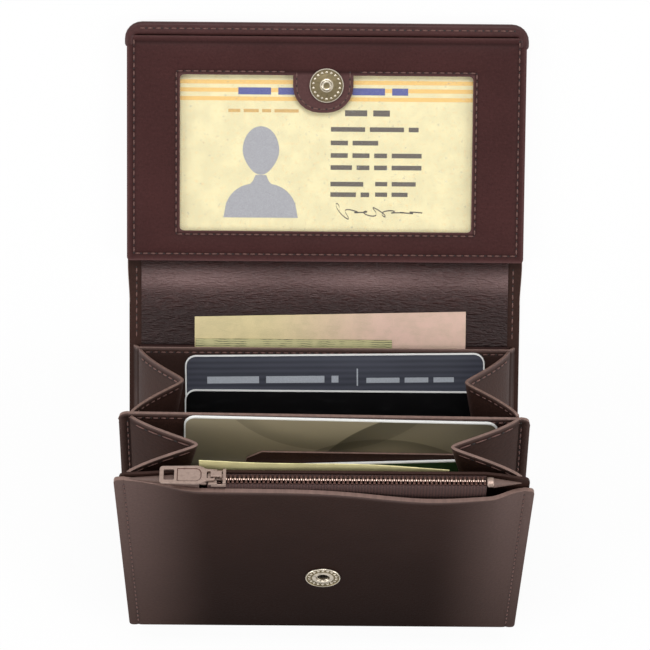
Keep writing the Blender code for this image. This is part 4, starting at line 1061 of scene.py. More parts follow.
def divider_marks(x, along):
    top = DIVIDER_LENGTH - along
    side = DIVIDER_HIGH.x - abs(x)
    # Painted shade in the seam's groove, along the side fold and inside the pocket's mouth; edge wear and
    # painted highlight on the top edge.
    crease, rub = hem_marks(top, top - sizes().hem_inset)
    shade_of_pocket = 0.5 * smooth((0.014 - top) / 0.004) * smooth((top - 0.0006) / 0.0006)
    return max(crease, bump_at(side, 0.0022, 0.0006), shade_of_pocket), rub


def middle_marks(x, share):
    top = (1 - share) * MIDDLE_LENGTH
    side = SHELL_HALF - abs(x)
    # Painted shade in the seam grooves; edge wear and painted highlight on the top and side edges.
    crease, rub = hem_marks(top, top - sizes().hem_inset)
    crease = max(crease, bump_at(side, MIDDLE_SEAM, 0.0006), bump_at(side, 0.0034, 0.0004))
    return crease, max(rub, bump_at(side, 0.0, 0.0008) * 0.6)


def pouch_marks(x, share):
    """Edge wear and painted highlight on its edges, a painted sheen on its upper corners, and painted shade
    darkening its middle and foot.
    """
    top = (1 - share) * POUCH_FRONT_TOP
    side = POUCH_HALF - abs(x)
    # Painted sheen towards the sides and top, and painted shade in the middle and towards the foot.
    wear_and_sheen = 1.25 * smooth((abs(x) - 0.03) / 0.028) * (0.25 + 0.75 * share)
    painted_middle_shade = 1.1 * smooth((0.057 - abs(x)) / 0.03) * (1.02 - share) ** 0.8
    rub = max(bump_at(top, 0.0, 0.0009), bump_at(side, 0.0, 0.0009) * 0.5, wear_and_sheen)
    return max(bump_at(side, 0.0028, 0.0006) * 0.8, painted_middle_shade), rub


def gusset_marks(share, level):
    top = (1 - level) * MIDDLE_LENGTH
    fold = abs(share - HALF)
    # Edge wear and painted highlight on the top edge and a painted highlight along the fold; painted shade
    # under the hem's seam.
    rub = max(bump_at(top, 0.0, 0.0005), bump_at(fold, 0.0, 0.035) * 0.5)
    return bump_at(top, GUSSET_HEM, 0.0005) * 0.6, rub


def make_divider():
    half = DIVIDER_HIGH.x
    across = mirrored(stations(0.0, (half - 0.006, 14), (half - 0.0018, 4), (half, 6)))
    top = DIVIDER_LENGTH
    rows = stations(0.0, (0.0024, 5), (top - 0.004, 14), (top - 0.0006, 10), (top, 2))
    piece = skin(
        "divider_skin", divider_place, across, rows, DIVIDER_LEATHER, POCKET_FINISH, marks=divider_marks,
    )
    seated(piece, "back", "divider_leather", "bill_divider")
    y = top - sizes().hem_inset
    sewn("divider_seam", "back", "divider_leather", divider_place, [
        [(-half + 0.003, y), (half - 0.003, y)],
    ], DIVIDER_LEATHER * HALF)


def middle_top(x):
    """The middle leaf's top edge: a little higher on the left, with round corners."""
    corner = 0.002
    drop = corner_drop(abs(x) - (SHELL_HALF - corner), corner)
    return MIDDLE_LENGTH - MIDDLE_SLANT * (1 + x / SHELL_HALF) * HALF - drop


def middle_place(x, share):
    along = MIDDLE_START + (middle_top(x) - MIDDLE_START) * share
    groove = bump_at(along, middle_top(0.0) - sizes().hem_inset, 0.0004)
    side = bump_at(abs(x), SHELL_HALF - MIDDLE_SEAM, 0.0004)
    return MIDDLE.at(x, along, -sizes().seam_groove * max(groove, side))


def slot_top(x):
    """The slot panel's top edge: low at the left, then slanting up to its level."""
    for (left, low), (right, high) in zip(SLOT_TOP, SLOT_TOP[1:]):
        if x <= right:
            return low + (high - low) * (x - left) / (right - left)
    return SLOT_TOP[-1][1]


def slot_place(x, share):
    along = SLOT_FOOT + (slot_top(x) - SLOT_FOOT) * share
    down = smooth((abs(x) - (SLOT_HALF - 0.001)) / 0.001)
    off = SLOT_OFF + SLOT_LEATHER * HALF
    off -= (SLOT_OFF - DIVIDER_LEATHER * HALF) * max(down, smooth((0.006 - along) / 0.002))
    return MIDDLE.at(x, along - MIDDLE_SLANT * HALF * x / SHELL_HALF, off)


def make_middle_leaf():
    half = SHELL_HALF
    across = mirrored(stations(0.0, (half - 0.006, 14), (half - 0.0006, 12), (half, 2)))
    rows = stations(0.0, (0.93, 14), (0.992, 10), (1.0, 2))
    metres = (1.0, MIDDLE_LENGTH)
    piece = skin(
        "middle_skin", middle_place, across, rows, DIVIDER_LEATHER, POCKET_FINISH,
        metres=metres, marks=middle_marks,
    )
    seated(piece, "middle_leaf", "divider_leather", "middle_panel")
    level = 1 - sizes().hem_inset / MIDDLE_LENGTH
    side = half - MIDDLE_SEAM
    sewn("middle_seams", "middle_leaf", "divider_leather", middle_place, [
        [(-side, level), (side, level)], *([(x, 0.03), (x, level - 0.02)] for x in (-side, side)),
    ], DIVIDER_LEATHER * HALF, metres)
    across = stations(
        -SLOT_HALF, (-SLOT_HALF + 0.001, 3), (-0.029, 6), (-0.0212, 8), (-0.0171, 3),
        (SLOT_HALF - 0.001, 20), (SLOT_HALF, 3),
    )
    rows = stations(0.0, (0.06, 5), (0.97, 10), (1.0, 3))
    piece = skin(
        "slot_skin", slot_place, across, rows, SLOT_LEATHER, POCKET_FINISH,
        rounding=0.0002, metres=(1.0, SLOT_TOP[-1][1] - SLOT_FOOT),
    )
    seated(piece, "middle_leaf", "thin_leather", "slot_panel")


def pouch_bend(x, along):
    """How far the pouch's upper corners lean forward, the right one more."""
    left = 0.0009 * smooth((-x - 0.037) / 0.016)
    right = 0.0014 * smooth((x - 0.0435) / 0.0095)
    return (left + right) * max(along, 0.0) / POUCH_REAR_TOP


def pouch_fullness(x):
    """The pouch's pillow: flat in its middle, closed at its seams, and slacker on its left."""
    flat_half = POUCH_FLAT_HALF if x > 0 else POUCH_SLACK_HALF
    return smooth((GUSSET_SEAM - abs(x)) / (GUSSET_SEAM - flat_half))


def pouch_top(x):
    """The front's upper edge: lowest in its middle, with its right corner lower than its left."""
    side = x / POUCH_HALF
    corner = 0.0013 if x < 0 else -0.0012
    radius = 0.0014
    cut = corner_drop(abs(x) - (POUCH_HALF - radius), radius)
    sag = 0.0031 * bump_at(x, POUCH_SAG_X, POUCH_SAG_WIDTH)
    return POUCH_FRONT_TOP - POUCH_FRONT_DIP + corner * abs(side) ** 4 - cut - sag


def pouch_front_place(x, share):
    """The pouch's front: a soft pillow whose top edge dips between its ends."""
    half = POUCH_FOOT_HALF + (POUCH_HALF - POUCH_FOOT_HALF) * share
    x = x / POUCH_HALF * half
    corner = 0.0012
    rise = corner_drop(abs(x) - (half - corner), corner) * (1 - share)
    along = -POUCH_FRONT_FOOT + (pouch_top(x) + POUCH_FRONT_FOOT) * share + rise
    off = POUCH_FRONT_OFF + max(along, 0.0) * math.sin(POUCH_WEDGE) * pouch_fullness(x)
    bow = bump_at(x, POUCH_SAG_X, POUCH_SAG_WIDTH) * smooth((along - 0.03) / 0.045)
    off += 0.0009 * bow + pouch_bend(x, along)
    off += 0.00025 * bump_at(x, -0.03, 0.012) * bump_at(along, 0.035, 0.02)
    side = bump_at(abs(x), half - 0.0026, 0.0005)
    off -= sizes().seam_groove * 1.5 * side
    return POUCH.at(x, along, off + SHELL_THICKNESS * HALF)


def make_pouch():
    half = POUCH_HALF
    across = mirrored(stations(
        0.0, (0.0034, 4), (0.03, 12), (half - 0.013, 8), (half - 0.004, 10), (half - 0.0006, 10), (half, 2),
    ))
    hem = sizes().hem_inset / POUCH_FRONT_TOP
    hole = (SOCKET_ALONG + POUCH_FRONT_FOOT) / (pouch_top(0.0) + POUCH_FRONT_FOOT)
    reach = 0.0034 / POUCH_FRONT_TOP
    rows = stations(
        0.0, (0.012, 3), (hole - reach, 8), (hole + reach, 8), (1 - hem * 2, 16), (1 - hem * 0.3, 8),
        (1.0, 2),
    )
    piece = skin(
        "pouch_front", pouch_front_place, across, rows, SHELL_THICKNESS, POUCH_FINISH,
        rounding=0.0004, metres=(1.0, POUCH_FRONT_TOP + POUCH_FRONT_FOOT), marks=pouch_marks,
        hole=(pouch_front_place(0.0, hole), SOCKET_HOLE),
    )
    seated(piece, "coin_pouch", "shell_leather", "pouch_front_panel")
    side = half - 0.0028
    sewn("pouch_side_seams", "coin_pouch", "shell_leather", pouch_front_place, [
        [(x, 0.02), (x, 0.975)] for x in (-side, side)
    ], SHELL_THICKNESS * HALF, (1.0, POUCH_FRONT_TOP))

    def rear_place(x, share):
        corner = 0.002
        top = POUCH_REAR_TOP - corner_drop(abs(x) - (POUCH_REAR_HALF - corner), corner)
        along = POUCH_REAR_START + (top - POUCH_REAR_START) * share
        return POUCH.at(x, along, pouch_bend(x, along))

    across = mirrored(stations(0.0, (POUCH_REAR_HALF - 0.003, 12), (POUCH_REAR_HALF, 8)))
    piece = skin(
        "pouch_rear", rear_place, across, stations(0.0, (0.99, 12), (1.0, 2)), POUCH_REAR_LEATHER,
        ("pocket_leather", "pocket_leather"), metres=(1.0, POUCH_REAR_TOP),
    )
    seated(piece, "coin_pouch", "thin_leather", "pouch_rear_wall")


def gusset_place(side, depth, low_leaf, high_leaf):
    """A folded side between two leaves, each (leaf, off, length): share across, level up."""
    def place(share, level):
        ends = []
        for leaf, off, length in (low_leaf, high_leaf):
            along = GUSSET_START + (length - GUSSET_START) * level
            bend = pouch_bend(side * GUSSET_SEAM, along) if leaf is POUCH else 0.0
            ends.append(leaf.at(0.0, along, off + bend))
        point = ends[0].lerp(ends[1], share)
        shallow = GUSSET_START / low_leaf[2]
        reach = depth * (shallow + (1 - shallow) * level)
        folded = 1 - math.sqrt((2 * share - 1) ** 2 + 0.008) * 0.996
        reach *= max(folded, 0.0) ** GUSSET_FOLD_POWER
        belly = 0.0006 * math.sin(math.pi * min(share, 1 - share) * 2) * level
        point.x = side * (GUSSET_SEAM - GUSSET_LEATHER * HALF - reach + belly)
        return point
    return place


def make_gussets():
    middle = DIVIDER_LEATHER * HALF + GUSSET_GAP
    pouch = POUCH_REAR_LEATHER * HALF + GUSSET_GAP
    edge = 0.0006  # from a leaf's top edge down to the gusset's
    kinds = (
        ("rear", REAR_GUSSET_DEPTH, (DIVIDER, GUSSET_GAP, DIVIDER_LENGTH - 0.0004),
         (MIDDLE, -middle, MIDDLE_LENGTH - edge), "back", "middle_leaf"),
        ("front", FRONT_GUSSET_DEPTH, (MIDDLE, middle, MIDDLE_LENGTH - edge),
         (POUCH, -pouch, POUCH_REAR_TOP - edge), "middle_leaf", "coin_pouch"),
    )
    for word, depth, low_leaf, high_leaf, lower, upper in kinds:
        for hand, side in (("left", -1), ("right", 1)):
            make_gusset(f"{word}_gusset_{hand}", side, depth, low_leaf, high_leaf, lower, upper)
    make_pleats(middle)


def make_gusset(name, side, depth, low_leaf, high_leaf, lower, upper):
    """One folded side and its stitches."""
    place = gusset_place(side, depth, low_leaf, high_leaf)

    def grooved(share, level):
        point = place(share, level)
        point.x += side * sizes().seam_groove * bump_at(level, 1 - 0.0015 / MIDDLE_LENGTH, 0.006)
        return point

    shares = stations(0.0, (0.08, 2), (0.42, 7), (0.58, 8), (0.92, 7), (1.0, 2))
    if side > 0:
        shares = [1 - share for share in shares]
    levels = stations(-0.036, (0.9, 13), (0.985, 7), (1.0, 2))
    width = (low_leaf[0].at(0.0, low_leaf[2]) - high_leaf[0].at(0.0, high_leaf[2])).length
    metres = (width, MIDDLE_LENGTH)
    piece = skin(
        f"{name}_skin", grooved, shares, levels, GUSSET_LEATHER, POCKET_FINISH,
        metres=metres, marks=gusset_marks,
    )
    blend_by_shares(piece, vertex_shares(piece, width), lower, upper)
    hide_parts(name)
    level = 1 - GUSSET_HEM / MIDDLE_LENGTH
    lift = -side * GUSSET_LEATHER * HALF
    lines = seam(grooved, [[(0.06, level), (0.46, level)], [(0.54, level), (0.94, level)]], lift, metres)
    lines += [
        (start - normal * lift * 2, end - normal * lift * 2, -normal, spot)
        for start, end, normal, spot in lines
    ]
    threads, thread_shares = stitches(f"{name}_seams", lines)
    blend_by_shares(threads, thread_shares, lower, upper)


def vertex_shares(piece, width):
    """The share across at each corner of a skin, from its flat map."""
    shares = [0.0] * len(piece.data.vertices)
    flat = piece.data.uv_layers["flat"]
    for loop in piece.data.loops:
        shares[loop.vertex_index] = flat.data[loop.index].uv.x / width
    return shares


def make_pleats(middle):
    """The folds of leather between the leaves' feet, each through a line of points."""
    pouch = POUCH_REAR_LEATHER * HALF + 0.0005
    kinds = (
        ("rear_pleat", "back", "middle_leaf", [
            DIVIDER.at(0.0, 0.003, 0.0005), DIVIDER.at(0.0, 0.0, 0.0005),
            DIVIDER.at(0.0, -0.0006, 0.0011), MIDDLE.at(0.0, 0.0, -0.0005),
        ]),
        ("front_pleat", "middle_leaf", "coin_pouch", [
            MIDDLE.at(0.0, 0.0001, 0.0005), MIDDLE.at(0.0, -0.0005, middle * 2),
            POUCH.at(0.0, -0.0005, -pouch), POUCH.at(0.0, 0.001, -pouch),
        ]),
    )
    half = GUSSET_SEAM - 0.0003
    for name, lower, upper, line in kinds:
        def place(share, x, line=line):
            reach = min(max(share, 0.0), 0.9999) * (len(line) - 1)
            index = int(reach)
            point = line[index].lerp(line[index + 1], smooth(reach - index))
            point.x = -x
            return point

        piece = skin(
            f"{name}_skin", place, stations(0.0, (1.0, 12)), stations(-half, (half, 20)), 0.0005,
            ("pocket_leather",), rounding=0.0001, metres=(PLEAT_DEPTH, 1.0),
        )
        blend_by_shares(piece, vertex_shares(piece, PLEAT_DEPTH), lower, upper)
        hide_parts(name)


def card(body, leaf, x, top, off, turn, finish):
    """A plastic card with its printed face and white edges, standing in its pocket."""
    spin = Matrix.Rotation(math.radians(turn), 2)

    def place(across, up):
        spot = spin @ Vector((across, up)) + Vector((x, top - CARD_HEIGHT * HALF))
        return leaf.at(spot.x, spot.y, off + CARD_THICKNESS * HALF)

    corner = sizes().card_corner
    low = -CARD_HEIGHT * HALF
    piece = plate(
        f"{body}_face", box_corners(-CARD_HALF, CARD_HALF, low, -low, corner, corner), place, CARD_THICKNESS,
        (finish, "card_edge_plastic"), CARD_BEVEL, back_finish=1, margin=CARD_MARGIN,
    )
    seated(piece, body, body, body)
    return place


def print_boxes(name, body, place, lift, finish, boxes):
    """Flat print on a card: each box is (left, right, low, high) on its face."""
    maker = bmesh.new()
    for left, right, low, high in boxes:
        made = bmesh.ops.create_grid(maker, x_segments=1, y_segments=1, size=HALF)
        for vert in made["verts"]:
            x = left + (right - left) * (vert.co.x + HALF)
            y = low + (high - low) * (vert.co.y + HALF)
            vert.co = place(x, y) + normal_at(place, x, y) * lift
    seated(object_of(name, maker, (finish,)), body, body)


def word_boxes(left, right, base, height, seed, letters=5):
    """A row of plain bars, as long as words, that can't be read."""
    dice = random.Random(seed)
    boxes = []
    x = left
    while x < right:
        width = height * HALF * dice.randint(max(letters - 2, 1), letters + 3)
        if x + width > right:
            width = right - x
        if width > height * HALF:
            boxes.append((x, x + width, base + height * 0.16, base + height * 0.7))
        x += width + height * 0.55
    return boxes


def make_cards():
    place = card("slate_card", DIVIDER, 0.0034, 0.0744, CARD_GAP, 0.9, "slate_face")
    top = CARD_HEIGHT * HALF
    boxes = word_boxes(-0.0365, 0.001, top - 0.0088, 0.0037, 11, 7)
    boxes.append((0.0062, 0.0066, top - 0.0092, top - 0.0042))
    boxes += word_boxes(0.009, 0.034, top - 0.0088, 0.0027, 5, 5)
    print_boxes(
        "slate_card_print", "slate_card", place, CARD_THICKNESS * HALF + PRINT_LIFT, "pale_print", boxes,
    )
    card("black_card", DIVIDER, 0.003, 0.064, CARD_GAP * 2 + CARD_THICKNESS, 0.0, "black_face")
    card("pattern_card", MIDDLE, 0.0041, 0.0735, DIVIDER_LEATHER * HALF + CARD_GAP, -1.1, "pattern_face")
    card("green_card", MIDDLE, 0.0012, 0.0586, SLOT_OFF + SLOT_LEATHER + CARD_GAP, 2.6, "green_face")


def note(name, place, across, rows, thickness, length):
    return skin(
        f"{name}_paper", place, across, rows, thickness, (f"{name}_paper",),
        rounding=NOTE_BEVEL, metres=(1.0, length),
    )


def make_notes():
    low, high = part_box("rear_note")
    z = (low.z + high.z) * HALF
    rise = 0.002

    def rear(x, share):
        top = high.y - rise + rise * (x - low.x) / (high.x - low.x)
        y = low.y + (top - low.y) * share
        lift = 0.0002 * smooth((y - SPINE_FOLD.y + 0.002) / 0.009) * (0.7 + 0.3 * math.sin(x * 90))
        return Vector((x, y, z + lift))

    across = stations(low.x, (high.x, 30))
    piece = note("rear_note", rear, across, stations(0.0, (0.8, 10), (1.0, 24)), 0.0003, high.y - low.y)
    bent(piece, "back", "spine", SPINE_FOLD, "pale_paper", "rear_note")
    bottom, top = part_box("edge_note")
    edge_z = (bottom.z + top.z) * HALF

    def edge(x, share):
        y = bottom.y + (top.y - bottom.y) * share
        lift = 0.0002 * smooth((y - SPINE_FOLD.y + 0.004) / 0.006) * (0.6 + 0.4 * math.sin(x * 140 + 1))
        return Vector((x, y, edge_z + 0.0001 + lift))

    across = stations(bottom.x, (top.x, 24))
    piece = note("edge_note", edge, across, stations(0.0, (0.8, 8), (1.0, 14)), 0.0002, top.y - bottom.y)
    bent(piece, "back", "spine", SPINE_FOLD, "pale_paper", "edge_note")

    def front(x, share):
        top_edge = 0.0757 - 0.0035 * (x + NOTE_HALF) / (NOTE_HALF * 2) + 0.0003 * math.sin(x * 120)
        curl = 0.0012 * smooth((share - 0.55) / 0.45) * (0.75 + 0.25 * math.sin(x * 75 + 1.0))
        return POUCH.at(x, top_edge - NOTE_LENGTH * (1 - share), -0.00075 - curl)

    across = stations(-NOTE_HALF, (NOTE_HALF, 30))
    piece = note("front_note", front, across, stations(0.0, (0.6, 8), (1.0, 14)), 0.0003, NOTE_LENGTH)
    seated(piece, "front_note", "yellow_paper", "front_note")


WINDOW_LEFT = -0.0415
WINDOW_RIGHT = 0.0415
WINDOW_LOW = 0.02734
WINDOW_HIGH = 0.07164
TONGUE_LEFT = -0.0095
TONGUE_RIGHT = 0.0076
TONGUE_LOW = 0.06114
TONGUE_RADIUS = 0.0075


def edge_distance(x, y):
    """How far a spot of the flap's frame is from its nearest edge."""
    outer = min(FLAP_HALF - abs(x), y - FRAME_LOW.y, ROLL_LOW.y - y)
    beside = max(WINDOW_LEFT - x, x - WINDOW_RIGHT, 0.0)
    below = max(WINDOW_LOW - y, y - WINDOW_HIGH, 0.0)
    window = math.hypot(beside, below)
    return outer, window


def frame_place(x, y):
    """The leather round the window: pulled down along its seams and full between them."""
    outer, window = edge_distance(x, y)
    z = FRAME_HIGH.z - FRAME_LEATHER * HALF
    full = smooth((outer - OUTER_SEAM) / 0.003) * smooth((window - 0.0015) / 0.003)
    z += 0.00018 * full * (1 + 0.3 * math.sin(x * 160 + y * 90))
    z -= sizes().seam_groove * 1.4 * bump_at(outer, OUTER_SEAM, 0.0005)
    if window > 0.0:
        z -= sizes().seam_groove * 1.2 * bump_at(window, WINDOW_SEAM, 0.0004)
    return Vector((x, y, z))


def frame_marks(x, y):
    """Painted shade in the grooves along the seams, and edge wear with painted highlight on the edges."""
    outer, window = edge_distance(x, y)
    crease = bump_at(outer, OUTER_SEAM, 0.0006)
    if window > 0.0:
        crease = max(crease, bump_at(window, WINDOW_SEAM, 0.0005))
    return crease * 0.75, max(bump_at(outer, 0.0, 0.0006), bump_at(window, 0.0, 0.0004)) * 0.35


def make_flap():
    radius = sizes().window_radius
    corners = box_corners(-FLAP_HALF, FLAP_HALF, FRAME_LOW.y, ROLL_LOW.y - 0.0002, 0.001, 0.0)
    window = [
        (WINDOW_LEFT, WINDOW_LOW, radius), (WINDOW_RIGHT, WINDOW_LOW, radius),
        (WINDOW_RIGHT, WINDOW_HIGH, radius), (TONGUE_RIGHT, WINDOW_HIGH, 0.0),
        (TONGUE_RIGHT, TONGUE_LOW, TONGUE_RADIUS), (TONGUE_LEFT, TONGUE_LOW, TONGUE_RADIUS),
        (TONGUE_LEFT, WINDOW_HIGH, 0.0), (WINDOW_LEFT, WINDOW_HIGH, radius),
    ]
    across = mirrored(stations(0.0, (0.03, 6), (0.0415, 2), (0.045, 6), (0.051, 3), (0.0562, 10)))
    up = stations(
        FRAME_LOW.y + 0.0003, (0.0215, 8), (0.0245, 3), (0.0273, 6), (0.06, 6),
        (0.0716, 4), (0.0745, 6), (0.0795, 4), (0.0822, 6),
    )
    piece = plate(
        "flap_frame_skin", corners, frame_place, FRAME_LEATHER, ("flap_leather", "hem_line"), 0.0003,
        holes=[window], cuts=(across, up), marks=frame_marks,
    )
    seated(piece, "flap", "thin_leather", "flap_frame")
    make_flap_wall()
    side = FLAP_HALF - OUTER_SEAM
    low = FRAME_LOW.y + OUTER_SEAM
    top = ROLL_LOW.y - 0.001
    near = WINDOW_SEAM
    bend = TONGUE_RADIUS - near
    middle = TONGUE_LOW + TONGUE_RADIUS
    sewn("flap_seams", "flap", "thin_leather", frame_place, [
        [(-side, top), (-side, low), (side, low), (side, top)],
        [
            (TONGUE_LEFT - near * 2, WINDOW_HIGH + near), (WINDOW_LEFT - near, WINDOW_HIGH + near),
            (WINDOW_LEFT - near, WINDOW_LOW - near), (WINDOW_RIGHT + near, WINDOW_LOW - near),
            (WINDOW_RIGHT + near, WINDOW_HIGH + near), (TONGUE_RIGHT + near * 2, WINDOW_HIGH + near),
        ],
        [(TONGUE_LEFT + near, WINDOW_HIGH + near), (TONGUE_LEFT + near, middle)],
        [
            *arc(TONGUE_LEFT + TONGUE_RADIUS, middle, bend, 180, 270),
            *arc(TONGUE_RIGHT - TONGUE_RADIUS, middle, bend, 270, 360),
        ],
        [(TONGUE_RIGHT - near, middle), (TONGUE_RIGHT - near, WINDOW_HIGH + near)],
    ], FRAME_LEATHER * HALF)
    make_roll()


def make_flap_wall():
    """The leather inside the pocket's sides, between the shell and the frame. Its foot is the card's slot."""
    maker = bmesh.new()
    near, far = FLAP_HALF - 0.0014, FLAP_HALF - 0.0002
    for left, right in ((-far, -near), (near, far)):
        outlined(maker, box_corners(left, right, FRAME_LOW.y + 0.001, ROLL_LOW.y))
    raised(maker, FRAME_HIGH.z - 0.0005 - SHELL_THICKNESS)
    bmesh.ops.translate(maker, verts=maker.verts, vec=(0.0, 0.0, SHELL_THICKNESS))
    bmesh.ops.recalc_face_normals(maker, faces=maker.faces)
    piece = object_of("flap_wall", maker, ("edge_leather",))
    piece.data.set_sharp_from_angle(angle=math.radians(40))
    seated(piece, "flap", "thin_leather")


def make_roll():
    """The rolled band at the flap's end, with a cap that wraps each corner."""
    half = ROLL_HIGH.x
    cap = 0.0026
    low = ROLL_LOW.y - 0.0035
    corner = 0.0048
    height = ROLL_HIGH.z + 0.0002
    maker = bmesh.new()
    outlined(maker, [
        (-half, low, 0.0), (-half + cap, low, 0.0), (-half + cap, ROLL_LOW.y, 0.0012),
        (half - cap, ROLL_LOW.y, 0.0012), (half - cap, low, 0.0), (half, low, 0.0),
        (half, ROLL_HIGH.y, corner), (-half, ROLL_HIGH.y, corner),
    ])
    raised(maker, height)
    piece = closed("flap_roll", maker, ("roll_leather",), 0.0011, 5, 50)
    seated(piece, "flap", "shell_leather", "flap_edge_roll")
    y = (ROLL_LOW.y + ROLL_HIGH.y) * HALF
    sewn("roll_seam", "flap", "shell_leather", lambda x, y: Vector((x, y, height)), [
        [(-half + 0.004, y), (half - 0.004, y)],
    ])


def identity_spot(px, py):
    """From the measured print of the card to metres on the flap."""
    return (px - 326.3) / 3530, 0.07164 - (py - 75) / 3500


def identity_box(left, right, first, last):
    """A box of the measured print as (left, right, low, high)."""
    x0, y1 = identity_spot(left, first)
    x1, y0 = identity_spot(right, last)
    return x0, x1, y0, y1


def make_identity_card():
    low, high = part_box("id_card")
    z = (low.z + high.z) * HALF

    def place(x, y):
        return Vector((x, y, z))

    corner = sizes().card_corner
    piece = plate(
        "id_card_face", box_corners(low.x, high.x, low.y, high.y, corner, corner), place,
        high.z - low.z, ("identity_face", "card_edge_plastic"), CARD_BEVEL, back_finish=1,
    )
    seated(piece, "id_card", "id_card", "id_card")

    def text(left, right, first, last, seed, letters=5):
        x0, x1, y0, y1 = identity_box(left, right, first, last)
        return word_boxes(x0, x1, y0, y1 - y0, seed, letters)

    lift = (high.z - low.z) * HALF + PRINT_LIFT
    stripes = [identity_box(178, 474, first, first + 4) for first in (80, 88, 96.5)]
    print_boxes("id_card_stripes", "id_card", place, lift, "stripe_ink", stripes)
    lift += PRINT_LIFT
    words = text(238, 303, 83.5, 96.5, 3, 6) + text(352, 408, 83.5, 96.5, 8, 6)
    print_boxes("id_card_title", "id_card", place, lift, "title_ink", words)
    print_boxes("id_card_dates", "id_card", place, lift, "orange_ink", text(228, 299, 107, 113, 4))
    words = text(345, 401, 106, 117, 7, 4)
    for index, (right, first) in enumerate(
        ((419, 123.5), (385, 137), (425, 149.5), (424, 161.5), (364, 178), (370, 188.5)),
    ):
        words += text(331, right, first, first + 8.5, 20 + index)
    words += text(376, 421, 178, 186, 31) + text(376, 416, 188.5, 196.5, 32)
    print_boxes("id_card_text", "id_card", place, lift, "text_ink", words)
    make_signature(place, lift)
    make_portrait(place, lift)


def make_signature(place, lift):
    """A looping pen stroke that spells nothing."""
    maker = bmesh.new()
    bmesh.ops.create_grid(maker, x_segments=160, y_segments=1, size=HALF)
    for vert in maker.verts:
        share = vert.co.x + HALF
        x, y = identity_spot(336 + 84 * share, 211)
        swing = 0.0026 * math.sin(share * 41) * (1 - share) ** 0.8 * (0.5 + 0.5 * math.sin(share * 13 + 1))
        lean = 0.0011 * math.sin(share * 57 + 1.4)
        vert.co = place(x + lean, y + swing + vert.co.y * 0.00035) + Vector((0.0, 0.0, lift))
    seated(object_of("id_card_stroke", maker, ("text_ink",)), "id_card", "id_card")


def make_portrait(place, lift):
    """A plain grey head and shoulders, without a face."""
    x, y = identity_spot(261, 150)
    bottom = identity_spot(261, 217)[1]
    neck = 0.0027
    half = 0.0106
    maker = bmesh.new()
    bmesh.ops.create_circle(maker, cap_ends=True, segments=36, radius=1.0)
    for vert in maker.verts:
        narrow = 1.0 - 0.16 * smooth(-vert.co.y)
        vert.co = place(x + vert.co.x * 0.0052 * narrow, y + vert.co.y * 0.0069)
    made = bmesh.ops.create_grid(maker, x_segments=28, y_segments=8, size=HALF)
    for vert in made["verts"]:
        side = vert.co.x * 2
        level = vert.co.y + HALF
        top = bottom + 0.0098 * (1 - abs(side) ** 2.6) ** HALF
        if abs(side) * half < neck:
            top += 0.0024 * smooth((neck - abs(side) * half) / 0.0012)
        vert.co = place(x + side * half, bottom + (top - bottom) * level)
    bmesh.ops.translate(maker, verts=maker.verts, vec=(0.0, 0.0, lift))
    seated(object_of("id_card_portrait", maker, ("portrait_ink",)), "id_card", "id_card")


def beads(maker, place, radius, height):
    """Small beads standing in a ring."""
    count = sizes().bead_count
    for index in range(count):
        angle = 2 * math.pi * (index + HALF) / count
        spot = Matrix.Translation((radius * math.cos(angle), radius * math.sin(angle), height))
        flat = Matrix.Diagonal((BEAD_SIZE, BEAD_SIZE, BEAD_SIZE * 0.5, 1.0))
        bmesh.ops.create_uvsphere(maker, u_segments=10, v_segments=6, radius=1.0, matrix=place @ spot @ flat)


def stud_half(name, body, node, place, radius, height, profile, *darks):
    """A spun half of the press-stud, dark between pairs of radii, with its ring of beads."""
    maker = bmesh.new()
    lathe(maker, profile, place)
    for inner, outer in darks:
        darkened(maker, place, inner, outer)
    beads(maker, place, radius * 0.77, height)
    piece = object_of(name, maker, STUD_FINISH)
    piece.data.set_sharp_from_angle(angle=math.radians(50))
    seated(piece, body, "antique_nickel", node)


def make_stud():
    low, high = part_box("snap_stud")
    radius = (high.x - low.x) * HALF
    place = Matrix.Translation((0.0, STUD_Y, low.z))
    stud_half("stud_cap", "flap", "snap_stud", place, radius, 0.00026, [
        (0.00001, 0.00215), (0.0006, 0.00216), (0.0009, 0.00222), (0.00105, 0.00231), (0.00125, 0.00232),
        (0.00145, 0.00216), (0.00158, 0.0018), (0.0016, 0.0014), (0.00155, 0.00105), (0.0014, 0.00085),
        (0.0014, 0.00055), (0.0019, 0.0004), (0.0024, 0.00034), (radius * 0.6, 0.0003),
        (radius * 0.63, 0.00026), (radius * 0.9, 0.00026), (radius * 0.93, 0.00046),
        (radius * 0.98, 0.00044), (radius, 0.0003), (radius, 0.00005), (radius * 0.96, 0.0), (0.00001, 0.0),
    ], (0.0017, radius * 0.915), (0.0, 0.00095))
    radius = SOCKET_RADIUS
    place = face_matrix(FRONT_FACE, 0.0, SOCKET_ALONG, SHELL_THICKNESS)
    stud_half("socket_cap", "coin_pouch", "snap_socket", place, radius, 0.00028, [
        (0.00195, -0.0014), (0.00195, 0.0003), (0.0021, 0.00046), (0.0024, 0.00052), (0.0028, 0.00046),
        (0.003, 0.00028), (radius * 0.9, 0.00028), (radius * 0.93, 0.00046), (radius * 0.98, 0.00044),
        (radius, 0.0003), (radius, 0.0001), (radius * 0.97, 0.00003), (0.0025, 0.00003), (0.0025, -0.0014),
        (0.00195, -0.0014),
    ], (radius * 0.61, radius * 0.915))


def block(maker, left, right, low, high, near, far):
    """A block on the pouch's leaf: across, along and off."""
    made = bmesh.ops.create_cube(maker, size=1.0)
    for vert in made["verts"]:
        x = left + (right - left) * (vert.co.x + HALF)
        along = low + (high - low) * (vert.co.y + HALF)
        off = near + (far - near) * (vert.co.z + HALF)
        vert.co = POUCH.at(x, along, off)


